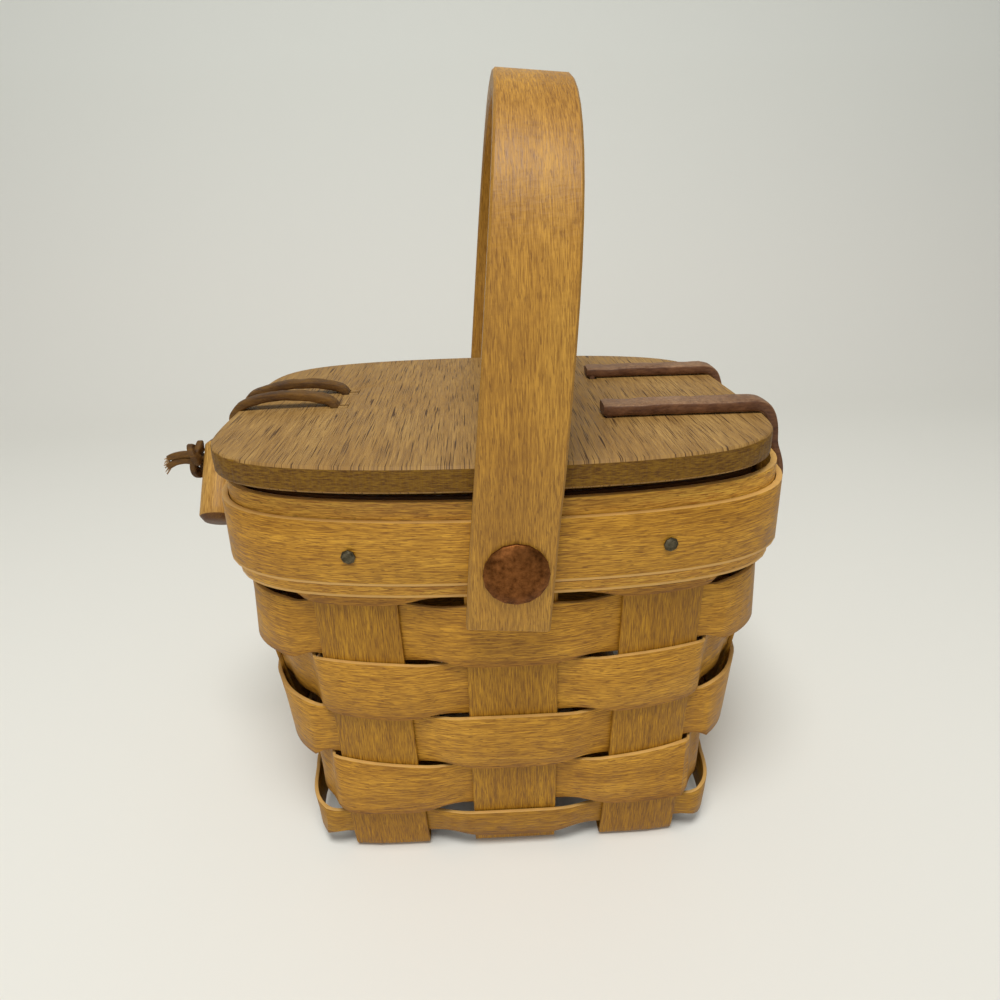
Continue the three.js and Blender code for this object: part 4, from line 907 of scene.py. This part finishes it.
def toggle():
    low_end = [
        (TOGGLE_RADIUS - TOGGLE_CHAMFER, TOGGLE_LOW),
        (TOGGLE_RADIUS - 0.25, TOGGLE_LOW + TOGGLE_CHAMFER - 0.15),
        (TOGGLE_RADIUS, TOGGLE_LOW + TOGGLE_CHAMFER + 0.2),
    ]
    start = TOGGLE_LOW + TOGGLE_PLAIN_FROM
    span = (TOGGLE_HIGH - TOGGLE_LOW - 2 * TOGGLE_PLAIN_FROM) / TOGGLE_SPANS
    barrel = [(TOGGLE_RADIUS, start + step * span) for step in range(TOGGLE_SPANS + 1)]
    high_end = [(radius, TOGGLE_HIGH + TOGGLE_LOW - along) for radius, along in reversed(low_end)]
    profile = low_end + barrel + high_end
    verts, faces, slots = [], [], []
    for radius, along in profile:
        for k in range(TOGGLE_STEPS):
            angle = 2 * math.pi * k / TOGGLE_STEPS
            verts.append(mm(radius * math.cos(angle), along, radius * math.sin(angle)))
    last_span = len(profile) - 2
    for i in range(last_span + 1):
        for k in range(TOGGLE_STEPS):
            a = i * TOGGLE_STEPS + k
            b = i * TOGGLE_STEPS + (k + 1) % TOGGLE_STEPS
            faces.append((a, b, b + TOGGLE_STEPS, a + TOGGLE_STEPS))
            slots.append(1 if i in (0, last_span) else 0)
    last = (len(profile) - 1) * TOGGLE_STEPS
    faces.append(tuple(range(TOGGLE_STEPS)))
    faces.append(tuple(reversed(range(last, last + TOGGLE_STEPS))))
    slots += [1, 1]
    side = wood("toggle_side", TOGGLE, across=(1, 0, 1), seed=27.7, contrast=0.6, dash=0.3)
    end = wood("toggle_end", TOGGLE_END, across=(1, 1, 1), seed=29.7)
    place = Matrix.Translation(mm(TOGGLE_X, THONG_Y, THONG_Z)) @ Matrix.Rotation(TOGGLE_SLOPE, 4, "X")
    dowel = piece("dowel", [(verts, faces, slots)], (side, end), place)
    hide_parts("toggle")
    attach(dowel, "toggle")


toggle()

# Floor and backdrop: one pale sheet that curves up behind the object and darkens towards its top
FLOOR_HALF_WIDTH = 3.0
FLOOR_FRONT = -2.0
SWEEP_START = 0.45
SWEEP_RADIUS = 0.35
SWEEP_STEPS = 16
WALL_TOP = 2.2
WALL_TONES_PER_METRE = 0.8
WALL_TONES = [(0.08, tone(233, 231, 222)), (0.3, tone(228, 229, 222)), (0.8, tone(192, 195, 190))]


def backdrop():
    profile = [(FLOOR_FRONT, 0.0), (SWEEP_START, 0.0)]
    for i in range(1, SWEEP_STEPS + 1):
        angle = math.pi / 2 * i / SWEEP_STEPS
        profile.append((SWEEP_START + SWEEP_RADIUS * math.sin(angle), SWEEP_RADIUS * (1 - math.cos(angle))))
    profile.append((SWEEP_START + SWEEP_RADIUS, WALL_TOP))
    verts = [(side * FLOOR_HALF_WIDTH, y, z) for y, z in profile for side in (-1, 1)]
    faces = [(2 * i, 2 * i + 1, 2 * i + 3, 2 * i + 2) for i in range(len(profile) - 1)]
    mesh = bpy.data.meshes.new("backdrop")
    mesh.from_pydata(verts, [], faces)
    mesh.polygons.foreach_set("use_smooth", [True] * len(mesh.polygons))
    obj = bpy.data.objects.new("backdrop", mesh)
    bpy.context.scene.collection.objects.link(obj)
    n = Nodes("backdrop")
    height = n.math("MULTIPLY", n.axis("Z", n.place), WALL_TONES_PER_METRE)
    n.link(n.ramp(height, WALL_TONES), n.shader.inputs["Base Color"])
    n.constant("Roughness", 0.9)
    n.constant("Specular IOR Level", 0.2)
    mesh.materials.append(n.material)


backdrop()

# Light: a wide soft lamp above and in front, a weaker one lower and further out in front, and an
# even world that the camera sees as a pale wall
LAMP_TARGET = Vector((0, 0, 0.1))
WORLD_LIGHT = (0.98, 0.99, 1.0, 1)
WORLD_STRENGTH = 0.3
WORLD_SEEN = tone(214, 215, 208)


def lamp(name, place, size, power):
    light = bpy.data.lights.new(name, "AREA")
    light.shape = "DISK"
    light.size = size
    light.energy = power
    obj = bpy.data.objects.new(name, light)
    bpy.context.scene.collection.objects.link(obj)
    obj.location = place
    direction = LAMP_TARGET - Vector(place)
    obj.rotation_euler = direction.to_track_quat("-Z", "Y").to_euler()


def even_world():
    world = bpy.data.worlds.new("world")
    world.use_nodes = True
    tree = world.node_tree
    sky = tree.nodes["Background"]
    sky.inputs["Color"].default_value = WORLD_LIGHT
    sky.inputs["Strength"].default_value = WORLD_STRENGTH
    seen = tree.nodes.new("ShaderNodeBackground")
    seen.inputs["Color"].default_value = WORLD_SEEN
    seen.inputs["Strength"].default_value = 1.0
    path = tree.nodes.new("ShaderNodeLightPath")
    either = tree.nodes.new("ShaderNodeMixShader")
    tree.links.new(path.outputs["Is Camera Ray"], either.inputs["Fac"])
    tree.links.new(sky.outputs["Background"], either.inputs[1])
    tree.links.new(seen.outputs["Background"], either.inputs[2])
    tree.links.new(either.outputs["Shader"], tree.nodes["World Output"].inputs["Surface"])
    bpy.context.scene.world = world


lamp("key", (-0.08, -0.42, 1.25), size=0.6, power=12.0)
lamp("fill", (-0.35, -1.2, 0.5), size=0.8, power=2.6)
even_world()
